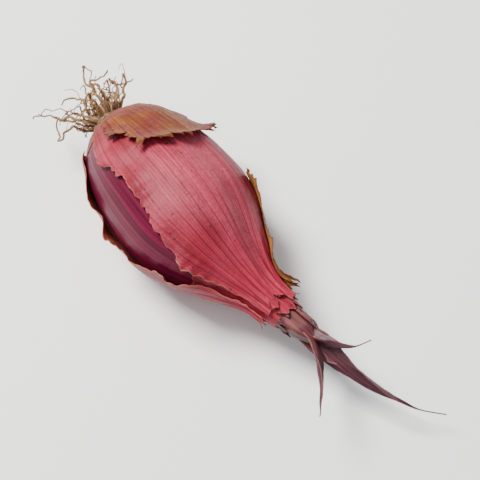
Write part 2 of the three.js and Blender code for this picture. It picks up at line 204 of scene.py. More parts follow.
@dataclass(frozen=True)
class BulbForm:
    """The lying bulb's shape: a smooth profile round a bent axis, in millimetres."""

    profile: tuple[tuple[float, float], ...] = (
        (0, 3.1),
        (1.5, 5.2),
        (4, 7.3),
        (8, 9.1),
        (13, 10.3),
        (19, 10.8),
        (23, 10.45),
        (27, 9.0),
        (31, 6.6),
        (34.5, 4.4),
        (37.5, 2.95),
        (41, 2.25),
        (46, 2.0),
        (52, 1.9),
    )
    oval: float = 0.035
    oval_angle: float = 0.5
    lobe: float = 0.012
    crease_depth: float = 0.55
    crease_angle: float = -0.62
    crease_width: float = 0.24
    bend_start: float = 24.0
    bend_length: float = 28.0
    bend_side: float = 3.2
    bend_up: float = -1.2
    pitch: float = math.radians(-2.4)
    flat_depth: float = 0.36
    solid_skin: float = 0.9
    gather_start: float = 27.0
    gather_count: int = 17
    gather_depth: float = 0.15

    def profile_radius(self, along: Array) -> Array:
        """A smooth curve through the profile's points.

        Args:
            along: Places along the axis.

        Returns:
            The mean radius at each place.
        """
        x, y = np.array(self.profile, float).T
        slope = np.empty_like(y)
        slope[1:-1] = (y[2:] - y[:-2]) / (x[2:] - x[:-2])
        slope[0] = (y[1] - y[0]) / (x[1] - x[0])
        slope[-1] = (y[-1] - y[-2]) / (x[-1] - x[-2])
        k = np.clip(np.searchsorted(x, along) - 1, 0, len(x) - 2)
        width = x[k + 1] - x[k]
        t = (along - x[k]) / width
        return (
            y[k] * (1 + 2 * t) * (1 - t) ** 2
            + slope[k] * width * t * (1 - t) ** 2
            + y[k + 1] * t * t * (3 - 2 * t)
            + slope[k + 1] * width * t * t * (t - 1)
        )

    def radius(self, along: Array, angle: Array) -> Array:
        """The living bulb's radius, with its flatness, lobes and crease.

        Args:
            along: Places along the axis.
            angle: Angles round the axis.

        Returns:
            The radius at each place.
        """
        body = smooth_step(along / 10) * (1 - smooth_step((along - 26) / 12))
        oval = self.oval * np.cos(2 * (angle - self.oval_angle))
        lobes = self.lobe * np.sin(3 * angle + 1.1)
        away = angle - self.crease_angle
        away = np.arctan2(np.sin(away), np.cos(away))
        crease = self.crease_depth * np.exp(-((away / self.crease_width) ** 2))
        reach = smooth_step((along - 6) / 12) * (1 - smooth_step((along - 30) / 10))
        return self.profile_radius(along) * (1 + (oval + lobes) * body) - crease * reach

    def gathers(self, along: Array, angle: Array) -> Array:
        """The lengthwise folds into which dry skin gathers where the bulb draws in to its neck.

        Args:
            along: Places along the axis.
            angle: Angles round the axis.

        Returns:
            How far the folds stand out at each place.
        """
        depth = self.gather_depth * smooth_step((along - self.gather_start) / 9)
        return depth * (1 + np.sin(self.gather_count * angle + 0.35 * along))

    def axis(self, along: Array) -> tuple[Array, Array]:
        """How far the axis has bent to the side and up.

        Args:
            along: Places along the axis.

        Returns:
            The sideways and the upward bend at each place.
        """
        bent = smooth_step((along - self.bend_start) / self.bend_length) ** 1.5
        return self.bend_side * bent, self.bend_up * bent

    def lying(self, along: Array, side: Array, up: Array) -> Array:
        """Turns places in the bulb's own directions into points of the lying bulb.

        Args:
            along: Distances along the axis.
            side: Distances towards +Y.
            up: Distances up from the axis.

        Returns:
            Points, before the bulb is set down on its flat spot.
        """
        along, side, up = np.broadcast_arrays(along, side, up)
        x = along * math.cos(self.pitch) + up * math.sin(self.pitch)
        z = -along * math.sin(self.pitch) + up * math.cos(self.pitch)
        return np.stack([x, side, z], axis=-1)

    def rest(self) -> Array:
        """The shift that sets the bulb down with its flat spot's middle at the origin.

        Returns:
            The shift along each axis, in millimetres.
        """
        along, angle = np.meshgrid(np.arange(8, 30, 0.1), np.arange(2.6, 3.7, 0.01))
        radius = self.radius(along, angle) + self.solid_skin
        points = self.lying(along, -radius * np.sin(angle), radius * np.cos(angle)).reshape(-1, 3)
        low = points[np.argmin(points[:, 2])]
        return np.array([-low[0], -low[1], -low[2] - self.flat_depth])

    def place(self, along: Array, side: Array, up: Array, floor: float) -> Array:
        """Points given in the bulb's own directions, set down where the bulb rests.

        Args:
            along: Distances along the axis.
            side: Distances towards +Y.
            up: Distances up from the axis.
            floor: How low a point may be.

        Returns:
            The points, in millimetres in the row's frame.
        """
        points = self.lying(along, side, up) + self.rest()
        points[..., 2] = np.maximum(points[..., 2], floor)
        return points

    def about(self, along: Array, angle: Array, radius: Array, floor: float) -> Array:
        """Points round the bent axis.

        Args:
            along: Places along the axis.
            angle: Angles round the axis.
            radius: Distances from the axis.
            floor: How low a point may be.

        Returns:
            The points, in millimetres in the row's frame.
        """
        side, up = self.axis(along)
        return self.place(along, side - radius * np.sin(angle), up + radius * np.cos(angle), floor)

    def surface(self, along: Array, angle: Array, out: Array, floor: float) -> Array:
        """Points on a layer of the bulb.

        Args:
            along: Places along the axis.
            angle: Angles round the axis.
            out: Distances out from the living bulb's surface.
            floor: How low a point may be.

        Returns:
            The points, in millimetres in the row's frame.
        """
        return self.about(along, angle, self.radius(along, angle) + out, floor)


@dataclass
class Patch:
    """A grid of points and what the surface there carries, in millimetres.

    Rows run along the bulb and columns round it. around and along feed the vein relief,
    grain gives lengthwise patterns their place, rim is the distance to a torn edge, and tip
    goes from 0 to 1 as a dried leaf or skin ages towards its end.
    """

    points: Array
    around: Array
    along: Array
    grain: Array
    rim: Array | float = FAR_FROM_EDGE
    tip: Array | float = 0.0
    closed: bool = False

    def faces(self, start: int) -> list[tuple[int, int, int, int]]:
        """The grid's faces, pointing out.

        Args:
            start: The number of the grid's first point in its mesh.

        Returns:
            The corners of each face.
        """
        rows, columns = self.points.shape[:2]
        wraps = columns if self.closed else columns - 1
        r, c = np.meshgrid(np.arange(rows - 1), np.arange(wraps), indexing="ij")
        here, below, after = r * columns, (r + 1) * columns, (c + 1) % columns
        corners = [here + c, here + after, below + after, below + c]
        return (np.stack(corners, axis=-1).reshape(-1, 4) + start).tolist()


def linked(name: str, data: object) -> Piece:
    """Makes an object of a mesh, a lamp or a camera, and links it to the scene.

    Args:
        name: The object's name.
        data: What it holds.

    Returns:
        The object.
    """
    item = bpy.data.objects.new(name, data)
    bpy.context.scene.collection.objects.link(item)
    return item


def carry(mesh: bpy.types.Mesh, name: str, values: Array) -> None:
    """Stores numbers or vectors on a mesh's points.

    Args:
        mesh: The mesh.
        name: The name that they are stored under.
        values: One number, or one row of three, for each point.
    """
    kind, key = ("FLOAT_VECTOR", "vector") if values.ndim == 2 else ("FLOAT", "value")
    stored = mesh.attributes.new(name, kind, "POINT")
    stored.data.foreach_set(key, values.astype(np.float32).ravel())


def object_of(name: str, patches: list[Patch]) -> Piece:
    """Makes one object, in metres, out of several grids and what they carry.

    Args:
        name: The object's name.
        patches: The grids.

    Returns:
        The new object, linked to the scene.
    """
    starts = np.cumsum([0] + [p.points.shape[0] * p.points.shape[1] for p in patches])
    points = np.concatenate([p.points.reshape(-1, 3) for p in patches]) * MM
    faces = [face for p, start in zip(patches, starts) for face in p.faces(int(start))]
    mesh = bpy.data.meshes.new(name)
    mesh.from_pydata(points.tolist(), [], faces)
    for key in ("around", "along", "rim", "tip"):
        values = [np.broadcast_to(getattr(p, key), p.points.shape[:2]).ravel() for p in patches]
        carry(mesh, key, np.concatenate(values))
    carry(mesh, "grain", np.concatenate([p.grain.reshape(-1, 3) for p in patches]))
    return linked(name, mesh)


def lengthwise(angle: Array, along: Array, radius: float = BULB_GRAIN) -> Array:
    """Coordinates whose lateral scale stays the same as a layer narrows, with no seam round it.

    Args:
        angle: Angles round the axis.
        along: Places along the axis.
        radius: The radius at which a pattern has its true size.

    Returns:
        A vector at each place, in millimetres.
    """
    angle, along = np.broadcast_arrays(angle, along)
    return np.stack([radius * np.cos(angle), radius * np.sin(angle), along], axis=-1)


class NodeBench:
    """A node tree under construction, with short ways to place and join its nodes."""

    def __init__(self, tree: Tree) -> None:
        """Starts on an empty tree."""
        self.tree = tree

    def place(self, kind: str, inputs: dict | None = None, **settings: object) -> bpy.types.Node:
        """Places a node.

        Args:
            kind: The node's type.
            inputs: Socket names or numbers, each with a value or with the socket that feeds it.
            settings: The node's own settings.

        Returns:
            The node.
        """
        node = self.tree.nodes.new(kind)
        row, column = divmod(len(self.tree.nodes), NODES_PER_ROW)
        node.location = (NODE_PITCH[0] * column, NODE_PITCH[1] * row)
        for name, value in settings.items():
            setattr(node, name, value)
        for key, value in (inputs or {}).items():
            if isinstance(value, Socket):
                self.tree.links.new(value, node.inputs[key])
            else:
                node.inputs[key].default_value = value
        return node

    def take(self, kind: str, inputs: dict | None = None, **settings: object) -> Socket:
        """Places a node and returns its first output."""
        return self.place(kind, inputs, **settings).outputs[0]

    def end(self, name: str, result: Socket) -> Tree:
        """Joins a group's output, and returns the finished tree."""
        self.place("NodeGroupOutput", {name: result})
        return self.tree

    def math(self, operation: str, a: object, b: object = 0.0) -> Socket:
        """Places a Math node and returns its result."""
        return self.take("ShaderNodeMath", {0: a, 1: b}, operation=operation)

    def times(self, a: object, b: object) -> Socket:
        """Multiplies two numbers."""
        return self.math("MULTIPLY", a, b)

    def plus(self, a: object, b: object) -> Socket:
        """Adds two numbers."""
        return self.math("ADD", a, b)

    def minus(self, a: object, b: object) -> Socket:
        """Takes one number from another."""
        return self.math("SUBTRACT", a, b)

    def vector(self, operation: str, a: object, b: object) -> Socket:
        """Places a Vector Math node and returns its vector."""
        return self.take("ShaderNodeVectorMath", {0: a, 1: b}, operation=operation)

    def scaled(self, vector: object, factor: object) -> Socket:
        """Scales a vector by a number."""
        return self.take("ShaderNodeVectorMath", {0: vector, "Scale": factor}, operation="SCALE")

    def between(self, value: object, low: object, high: object) -> Socket:
        """Eases a value from 0 at low to 1 at high."""
        ends = {"Value": value, "From Min": low, "From Max": high}
        return self.take("ShaderNodeMapRange", ends, interpolation_type="SMOOTHSTEP")

    def noise(self, vector: object, seed: object, detail: float = 2.0) -> bpy.types.Node:
        """Places a noise of unit size that a seed shifts, and returns the node."""
        inputs = {"Vector": vector, "W": seed, "Scale": 1.0, "Detail": detail}
        return self.place("ShaderNodeTexNoise", inputs, noise_dimensions="4D")

    def cloud(self, vector: object, seed: object, detail: float = 2.0) -> Socket:
        """Places the same noise and returns its value."""
        return self.noise(vector, seed, detail).outputs[0]


def new_group(
    name: str, kind: str, output: tuple[str, str], inputs: tuple
) -> tuple[NodeBench, object]:
    """Starts a node group with named inputs and one output.

    Args:
        name: The group's name.
        kind: The type of its tree.
        output: The name and the kind of its output.
        inputs: The name of each input, with its default number or else its kind.

    Returns:
        The bench, and the sockets that give the group's inputs, by name.
    """
    bench = NodeBench(bpy.data.node_groups.new(name, kind))
    add = bench.tree.interface.new_socket
    add(name=output[0], in_out="OUTPUT", socket_type=f"NodeSocket{output[1]}")
    for label, value in inputs:
        if isinstance(value, float):
            add(name=label, in_out="INPUT", socket_type="NodeSocketFloat").default_value = value
        else:
            add(name=label, in_out="INPUT", socket_type=f"NodeSocket{value}")
    return bench, bench.place("NodeGroupInput").outputs


class ReliefTrees:
    """The geometry node trees that give layers their veins and thickness and grow the roots."""

    RELIEF_INPUTS = (
        ("Vein Count", 44.0),
        ("Vein Depth", 0.06 * MM),
        ("Wander", 1.5),
        ("Crinkle Depth", 0.08 * MM),
        ("Crinkle Size", 2.5 * MM),
        ("Seed", 0.0),
    )
    STRAND_INPUTS = (
        ("Crinkle", 0.5 * MM),
        ("Crinkle Size", 1.6 * MM),
        ("Taper", 0.6),
        ("Seed", 0.0),
        ("Sides", "Int"),
        ("Steps", "Int"),
        ("Material", "Material"),
    )
    VEIN_SHARPNESS = 9.0
    KNOT_SIZE = 0.9 * MM
    ROOT_FLOOR = 0.05 * MM
    SHEET_WELD = 0.0001 * MM
    POLE_WELD = 0.001 * MM

    def __init__(self) -> None:
        """Builds every tree once."""
        self.relief = self._vein_relief()
        self.sheet = self._dry_sheet()
        self.form = self._closed_form()
        self.roots = self._root_strands()

    def _start(self, name: str, *inputs: tuple[str, float | str]) -> tuple[NodeBench, object]:
        """Starts a tree that takes and gives geometry.

        Args:
            name: The tree's name.
            inputs: The name of each further input, with its default number or else its kind.

        Returns:
            The bench, and the sockets that give the tree's inputs, by name.
        """
        geometry = ("Geometry", "Geometry")
        return new_group(name, "GeometryNodeTree", geometry, (geometry, *inputs))

    def _finish(self, bench: NodeBench, geometry: Socket, material: Socket) -> Tree:
        """Ends a tree that makes a piece: smooth, real and dressed.

        Args:
            bench: The tree's bench.
            geometry: What the tree has made.
            material: The socket that gives its material.

        Returns:
            The finished tree.
        """
        smooth = bench.take("GeometryNodeSetShadeSmooth", {"Geometry": geometry})
        real = bench.take("GeometryNodeRealizeInstances", {"Geometry": smooth})
        dressed = bench.take("GeometryNodeSetMaterial", {"Geometry": real, "Material": material})
        return bench.end("Geometry", dressed)

    def _attribute(self, bench: NodeBench, name: str, kind: str = "FLOAT") -> Socket:
        """Reads what the surface carries under a name."""
        return bench.take("GeometryNodeInputNamedAttribute", {"Name": name}, data_type=kind)

    def _kept(self, bench: NodeBench, geometry: Socket, name: str, value: object) -> Socket:
        """Lets the surface carry a number under a name."""
        stored = {"Geometry": geometry, "Name": name, "Value": value}
        return bench.take("GeometryNodeStoreNamedAttribute", stored)

    def _vein_relief(self) -> Tree:
        """Raises fine lengthwise veins on a layer, and crinkles it.

        Returns:
            The finished tree.
        """
        bench, given = self._start("Vein relief", *self.RELIEF_INPUTS)
        grain, seed = self._attribute(bench, "grain", "FLOAT_VECTOR"), given["Seed"]
        wander = bench.cloud(bench.vector("MULTIPLY", grain, VEIN_WANDER), seed)
        around = bench.times(self._attribute(bench, "around"), given["Vein Count"])
        drift = bench.times(bench.minus(wander, 0.5), given["Wander"])
        phase = bench.times(bench.plus(around, bench.times(drift, TURN)), 0.5)
        crest = bench.math("ABSOLUTE", bench.math("COSINE", phase))
        patchy = bench.cloud(bench.vector("MULTIPLY", grain, VEIN_PATCHES), bench.plus(seed, 7.0))
        vein = bench.math("POWER", crest, self.VEIN_SHARPNESS)
        vein = bench.times(vein, bench.between(patchy, 0.3, 0.62))
        kept = self._kept(bench, given["Geometry"], "vein", vein)
        place = bench.take("GeometryNodeInputPosition")
        per_size = bench.math("DIVIDE", 1.0, given["Crinkle Size"])
        crinkle = bench.cloud(bench.scaled(place, per_size), bench.plus(seed, 3.0), 3.0)
        rise = bench.times(bench.times(bench.minus(crinkle, 0.5), 2.0), given["Crinkle Depth"])
        height = bench.plus(rise, bench.times(vein, given["Vein Depth"]))
        offset = bench.scaled(bench.take("GeometryNodeInputNormal"), height)
        moved = bench.take("GeometryNodeSetPosition", {"Geometry": kept, "Offset": offset})
        return bench.end("Geometry", moved)

    def _with_relief(self, bench: NodeBench, given: object, geometry: Socket) -> Socket:
        """Gives geometry the vein relief, with the tree's own inputs of the same names.

        Args:
            bench: The bench of the tree under construction.
            given: The sockets that give the tree's inputs.
            geometry: What is veined.

        Returns:
            The veined geometry.
        """
        group = bench.tree.nodes.new("GeometryNodeGroup")
        group.node_tree = self.relief
        bench.tree.links.new(geometry, group.inputs["Geometry"])
        for name, _ in self.RELIEF_INPUTS:
            bench.tree.links.new(given[name], group.inputs[name])
        return group.outputs[0]

    def _welded(self, bench: NodeBench, geometry: Socket, distance: float) -> Socket:
        """Merges points that coincide."""
        close = {"Geometry": geometry, "Distance": distance}
        return bench.take("GeometryNodeMergeByDistance", close)

    def _above_floor(self, bench: NodeBench, geometry: Socket, floor: object) -> Socket:
        """Presses flat what would sink below a height.

        Args:
            bench: The bench of the tree under construction.
            geometry: What is pressed.
            floor: The height, in metres.

        Returns:
            The pressed geometry.
        """
        lowest = bench.take("ShaderNodeCombineXYZ", {"X": -1.0, "Y": -1.0, "Z": floor})
        raised = bench.vector("MAXIMUM", bench.take("GeometryNodeInputPosition"), lowest)
        return bench.take("GeometryNodeSetPosition", {"Geometry": geometry, "Position": raised})

    def _dry_sheet(self) -> Tree:
        """Turns an open grid into a thin dry skin: veined, and closed all round.

        Returns:
            The finished tree.
        """
        own = (("Thickness", 0.12 * MM), ("Material", "Material"))
        bench, given = self._start("Dry sheet", *self.RELIEF_INPUTS, *own)
        veined = self._with_relief(bench, given, given["Geometry"])
        wall = {"Mesh": veined, "Offset Scale": given["Thickness"], "Individual": False}
        outer = bench.take("GeometryNodeExtrudeMesh", wall)
        turned = bench.take("GeometryNodeFlipFaces", {"Mesh": veined})
        inner = self._kept(bench, turned, "inside", 1.0)
        both = bench.place("GeometryNodeJoinGeometry")
        for side in (outer, inner):
            bench.tree.links.new(side, both.inputs[0])
        whole = self._welded(bench, both.outputs[0], self.SHEET_WELD)
        return self._finish(bench, self._above_floor(bench, whole, 0.0), given["Material"])

    def _closed_form(self) -> Tree:
        """Merges the poles of a closed grid and veins it.

        Returns:
            The finished tree.
        """
        own = (("Floor", 0.0), ("Material", "Material"))
        bench, given = self._start("Closed form", *self.RELIEF_INPUTS, *own)
        merged = self._welded(bench, given["Geometry"], self.POLE_WELD)
        veined = self._with_relief(bench, given, merged)
        raised = self._above_floor(bench, veined, given["Floor"])
        return self._finish(bench, raised, given["Material"])

    def _root_strands(self) -> Tree:
        """Turns thin lines into dried roots: crinkled, tapered and closed at their ends.

        Returns:
            The finished tree.
        """
        bench, given = self._start("Root strands", *self.STRAND_INPUTS)
        line = bench.take("GeometryNodeMeshToCurve", {"Mesh": given["Geometry"]})
        fine = bench.take("GeometryNodeResampleCurve", {"Curve": line, "Count": given["Steps"]})
        way, seed = self._attribute(bench, "tip"), given["Seed"]
        place = bench.take("GeometryNodeInputPosition")
        per_size = bench.math("DIVIDE", 1.0, given["Crinkle Size"])
        swirl = bench.noise(bench.scaled(place, per_size), seed).outputs[1]
        kink = bench.scaled(bench.vector("SUBTRACT", swirl, (0.5, 0.5, 0.5)), given["Crinkle"])
        kink = bench.scaled(kink, bench.times(bench.between(way, 0.02, 0.5), 2.0))
        curled = bench.take("GeometryNodeSetPosition", {"Geometry": fine, "Offset": kink})
        knots = bench.cloud(bench.scaled(place, 1.0 / self.KNOT_SIZE), bench.plus(seed, 5.0))
        slim = bench.minus(1.0, bench.times(way, given["Taper"]))
        uneven = bench.plus(0.55, bench.times(knots, 0.9))
        radius = bench.times(bench.times(slim, uneven), self._attribute(bench, "thick"))
        ring = {"Resolution": given["Sides"], "Radius": 1.0}
        circle = bench.take("GeometryNodeCurvePrimitiveCircle", ring)
        sweep = {"Curve": curled, "Profile Curve": circle, "Scale": radius, "Fill Caps": True}
        tube = bench.take("GeometryNodeCurveToMesh", sweep)
        raised = self._above_floor(bench, tube, self.ROOT_FLOOR)
        return self._finish(bench, raised, given["Material"])


def grow(piece: Piece, tree: Tree, values: Values) -> Piece:
    """Runs a geometry node tree on a piece and keeps the result as a plain mesh.

    Args:
        piece: The object that the tree starts from.
        tree: The tree.
        values: The tree's inputs by name.

    Returns:
        The same object, with its new mesh and no modifier.
    """
    modifier = piece.modifiers.new("shape", "NODES")
    modifier.node_group = tree
    sockets = tree.interface.items_tree
    named = {item.name: item.identifier for item in sockets if item.in_out == "INPUT"}
    for name, value in values.items():
        modifier[named[name]] = value
    piece.update_tag()
    graph = bpy.context.evaluated_depsgraph_get()
    mesh = bpy.data.meshes.new_from_object(piece.evaluated_get(graph), depsgraph=graph)
    mesh.name = piece.name
    piece.modifiers.remove(modifier)
    piece.data = mesh
    return piece


class SurfaceGroups:
    """The shader node groups that more than one finish uses. Each gives one mask."""

    SPOT = (("Seed", 0.0), ("Low", 0.4), ("High", 0.6))
    RIM_NOISE = 1.1 / MM

    def __init__(self) -> None:
        """Builds every group once."""
        self.streaks = self._streaks()
        self.veins = self._vein_lines()
        self.blotches = self._blotches()
        self.specks = self._specks()
        self.rim = self._torn_rim()

    def _start(self, name: str, *floats: tuple[str, float]) -> tuple[NodeBench, object]:
        """Starts a group with number inputs and one mask.

        Args:
            name: The group's name.
            floats: Names and defaults of its inputs.

        Returns:
            The bench, and the sockets that give the group's inputs, by name.
        """
        return new_group(name, "ShaderNodeTree", ("Mask", "Float"), floats)

    def _grain(self, bench: NodeBench) -> Socket:
        """The lengthwise coordinates that the surface carries."""
        return bench.place("ShaderNodeAttribute", attribute_name="grain").outputs["Vector"]

    def _place(self, bench: NodeBench) -> Socket:
        """The place on the object, in metres."""
        return bench.place("ShaderNodeTexCoord").outputs["Object"]

    def _streaks(self) -> Tree:
        """Streaks that run lengthwise and draw together where a layer narrows.

        Returns:
            The finished tree.
        """
        own = (("Across", 2.0), ("Along", 0.1))
        bench, given = self._start("Lengthwise streaks", *own, *self.SPOT)
        parts = {"X": given["Across"], "Y": given["Across"], "Z": given["Along"]}
        stretch = bench.take("ShaderNodeCombineXYZ", parts)
        place = bench.vector("MULTIPLY", self._grain(bench), stretch)
        noise = bench.cloud(place, given["Seed"], 3.0)
        return bench.end("Mask", bench.between(noise, given["Low"], given["High"]))

    def _vein_lines(self) -> Tree:
        """Lines along the veins, in step with a relief of the same count, wander and seed.

        Returns:
            The finished tree.
        """
        floats = (("Count", 46.0), ("Width", 0.2), ("Wander", 1.3), ("Seed", 0.0))
        bench, given = self._start("Vein lines", *floats)
        grain = self._grain(bench)
        parts = bench.place("ShaderNodeSeparateXYZ", {0: grain}).outputs
        angle = bench.math("ARCTAN2", parts[1], parts[0])
        wander = bench.cloud(bench.vector("MULTIPLY", grain, VEIN_WANDER), given["Seed"])
        drift = bench.times(bench.times(bench.minus(wander, 0.5), given["Wander"]), TURN)
        phase = bench.plus(bench.times(angle, given["Count"]), drift)
        crest = bench.math("ABSOLUTE", bench.math("COSINE", bench.times(phase, 0.5)))
        line = bench.between(crest, bench.minus(1.0, given["Width"]), 1.0)
        patchy = bench.cloud(bench.vector("MULTIPLY", grain, VEIN_PATCHES), given["Seed"])
        faded = bench.plus(0.35, bench.times(bench.between(patchy, 0.3, 0.6), 0.65))
        return bench.end("Mask", bench.times(line, faded))

    def _blotches(self) -> Tree:
        """Soft patches of one size in millimetres.

        Returns:
            The finished tree.
        """
        bench, given = self._start("Blotches", ("Size", 6.0), *self.SPOT)
        per_size = bench.math("DIVIDE", 1.0 / MM, given["Size"])
        noise = bench.cloud(bench.scaled(self._place(bench), per_size), given["Seed"], 4.0)
        return bench.end("Mask", bench.between(noise, given["Low"], given["High"]))

    def _specks(self) -> Tree:
        """Small dark dots, each of its own size, on a share of the surface.

        Returns:
            The finished tree.
        """
        floats = (("Spacing", 1.2), ("Radius", 0.2), ("Share", 0.5))
        bench, given = self._start("Specks", *floats)
        per_space = bench.math("DIVIDE", 1.0 / MM, given["Spacing"])
        place = bench.scaled(self._place(bench), per_space)
        cells = bench.place("ShaderNodeTexVoronoi", {"Vector": place, "Scale": 1.0}).outputs
        lot = bench.place("ShaderNodeSeparateXYZ", {0: cells["Color"]}).outputs
        size = bench.times(given["Radius"], lot[0])
        outside = bench.between(cells["Distance"], bench.times(size, 0.5), size)
        chosen = bench.math("LESS_THAN", lot[1], given["Share"])
        return bench.end("Mask", bench.times(bench.minus(1.0, outside), chosen))

    def _torn_rim(self) -> Tree:
        """An uneven band along a torn edge, of a width in millimetres.

        Returns:
            The finished tree.
        """
        bench, given = self._start("Torn rim", ("Width", 0.6), ("Seed", 0.0))
        rim = bench.place("ShaderNodeAttribute", attribute_name="rim").outputs["Fac"]
        noise = bench.cloud(bench.scaled(self._place(bench), self.RIM_NOISE), given["Seed"])
        width = bench.times(given["Width"], bench.times(noise, 2.0))
        return bench.end("Mask", bench.minus(1.0, bench.between(rim, 0.0, width)))


class Finish:
    """A finish: a principled surface whose colours and relief its subclass lays out."""

    label = "finish"
    ground: RGBA = (0.5, 0.5, 0.5, 1.0)
    coat = 0.0
    coat_roughness = 0.15
    specular = 0.5
    relief = 0.05 * MM

    def __init__(self, groups: SurfaceGroups) -> None:
        """Builds the material round the pattern.

        Args:
            groups: The groups that the finishes share.
        """
        self.groups = groups
        self.material = bpy.data.materials.new(self.label)
        self.material.use_nodes = True
        self.bench = NodeBench(self.material.node_tree)
        self.colour: object = self.ground
        roughness, height = self.lay(self.bench)
        bump = {"Height": height, "Distance": self.relief, "Strength": 1.0}
        normal = self.bench.take("ShaderNodeBump", bump)
        sockets = self.material.node_tree.nodes["Principled BSDF"].inputs
        links = {"Base Color": self.colour, "Roughness": roughness, "Normal": normal}
        for name, source in links.items():
            self.bench.tree.links.new(source, sockets[name])
        sockets["Coat Weight"].default_value = self.coat
        sockets["Coat Roughness"].default_value = self.coat_roughness
        sockets["Specular IOR Level"].default_value = self.specular

    def lay(self, on: NodeBench) -> tuple[Socket, Socket]:
        """Lays the coats of colour over the ground.

        Args:
            on: The bench of the material's tree.

        Returns:
            The sockets of the roughness and of the height of the relief.
        """
        raise NotImplementedError

    def mask(self, group: Tree, **values: float) -> Socket:
        """Places a shared group with its own values, and returns its mask.

        Args:
            group: The group.
            values: Its inputs by name, in small letters.

        Returns:
            The mask.
        """
        node = self.bench.tree.nodes.new("ShaderNodeGroup")
        node.node_tree = group
        for name, value in values.items():
            node.inputs[name.capitalize()].default_value = value
        return node.outputs["Mask"]

    def carried(self, name: str) -> Socket:
        """Reads a number that the surface carries."""
        return self.bench.place("ShaderNodeAttribute", attribute_name=name).outputs["Fac"]

    def cover(self, colour: RGBA, mask: Socket, share: float = 1.0) -> None:
        """Lays a coat of colour over what is there.

        Args:
            colour: The coat's colour.
            mask: Where it lies.
            share: How much of what is under it it hides.
        """
        amount = mask if share == 1.0 else self.bench.times(mask, share)
        coat = {0: amount, 6: self.colour, 7: colour}
        self.colour = self.bench.place("ShaderNodeMix", coat, data_type="RGBA").outputs[2]


class DustySkin(Finish):
    """The dry outer skin: dusty rose over maroon, finely veined, satin, brown at the root end."""

    label = "dusty_skin"
    specular = 0.22
    maroon = ground = paint("600616")
    rose = paint("932037")
    dust = paint("b64c5e")
    wine = paint("3a0511")
    crimson = paint("a81c3a")
    earth = paint("5e3020")
    speck = paint("25070c")
    straw = paint("a8714f")
    lining = paint("96503f")

    def lay(self, on: NodeBench) -> tuple[Socket, Socket]:
        """Lays dust, veins, flaked places, specks, a brown root end and a pale torn rim.

        Args:
            on: The bench of the material's tree.

        Returns:
            The sockets of the roughness and of the height of the relief.
        """
        groups = self.groups
        broad = self.mask(groups.streaks, across=0.32, along=0.05, seed=1.0, low=0.35, high=0.68)
        fine = self.mask(groups.streaks, across=2.0, along=0.06, seed=2.0, low=0.35, high=0.65)
        cloud = self.mask(groups.blotches, size=9.0, seed=4.0, low=0.24, high=0.76)
        grit = self.mask(groups.blotches, size=0.5, seed=6.0, low=0.3, high=0.7)
        vein = self.mask(groups.veins, count=46.0, width=0.12, wander=1.3, seed=5.0)
        hair = self.mask(groups.veins, count=138.0, width=0.5, wander=3.0, seed=5.0)
        flake = self.mask(groups.blotches, size=4.5, seed=9.0, low=0.62, high=0.7)
        dots = self.mask(groups.specks, spacing=0.9, radius=0.3, share=0.4)
        rim = self.mask(groups.rim, width=0.2, seed=3.0)
        along = self.carried("along")
        drawn_in = on.plus(0.2, on.times(on.between(along, 13.0, 34.0), 0.32))
        root_end = on.minus(1.0, on.between(along, 1.5, 8.0))
        self.cover(self.rose, broad)
        self.cover(self.dust, on.times(cloud, on.plus(0.55, on.times(grit, 0.4))))
        self.cover(self.crimson, on.between(along, 27.0, 39.0), 0.65)
        self.cover(self.maroon, fine, 0.4)
        self.cover(self.wine, on.times(hair, on.times(drawn_in, 0.5)))
        self.cover(self.wine, on.times(vein, drawn_in))
        self.cover(self.wine, flake, 0.42)
        self.cover(self.earth, root_end, 0.65)
        self.cover(self.speck, dots, 0.6)
        self.cover(self.lining, self.carried("inside"), 0.8)
        self.cover(self.straw, rim, 0.36)
        roughness = on.plus(0.45, on.times(on.plus(grit, cloud), 0.1))
        roughness = on.minus(roughness, on.times(flake, 0.14))
        height = on.plus(on.times(fine, 0.35), on.times(grit, 0.45))
        height = on.minus(height, on.times(flake, 0.5))
        return roughness, on.plus(height, on.times(on.plus(vein, hair), 0.3))


class GlossyScale(Finish):
    """The living bulb's outermost scale: dark glossy burgundy, paler where the roots grow."""

    label = "living_bulb"
    coat = 0.05
    coat_roughness = 0.22
    specular = 0.14
    relief = 0.03 * MM
    deep = ground = paint("40081d")
    burgundy = paint("560a26")
    magenta = paint("74143a")
    pale = paint("94605a")

    def lay(self, on: NodeBench) -> tuple[Socket, Socket]:
        """Lays lengthwise streaks and veins over the scale, and its pale base.

        Args:
            on: The bench of the material's tree.

        Returns:
            The sockets of the roughness and of the height of the relief.
        """
        groups = self.groups
        broad = self.mask(groups.streaks, across=0.55, along=0.04, seed=8.0, low=0.3, high=0.72)
        fine = self.mask(groups.streaks, across=2.4, along=0.05, seed=9.0, low=0.36, high=0.7)
        vein = self.mask(groups.veins, count=40.0, width=0.14, wander=1.2, seed=2.0)
        hair = self.mask(groups.veins, count=120.0, width=0.5, wander=3.0, seed=2.0)
        self.cover(self.burgundy, broad)
        self.cover(self.magenta, fine, 0.36)
        self.cover(self.deep, hair, 0.4)
        self.cover(self.magenta, vein, 0.45)
        self.cover(self.pale, on.minus(1.0, on.between(self.carried("along"), 0.0, 3.2)), 0.75)
        height = on.plus(on.times(fine, 0.4), on.times(vein, 0.6))
        return on.plus(0.38, on.times(fine, 0.12)), height


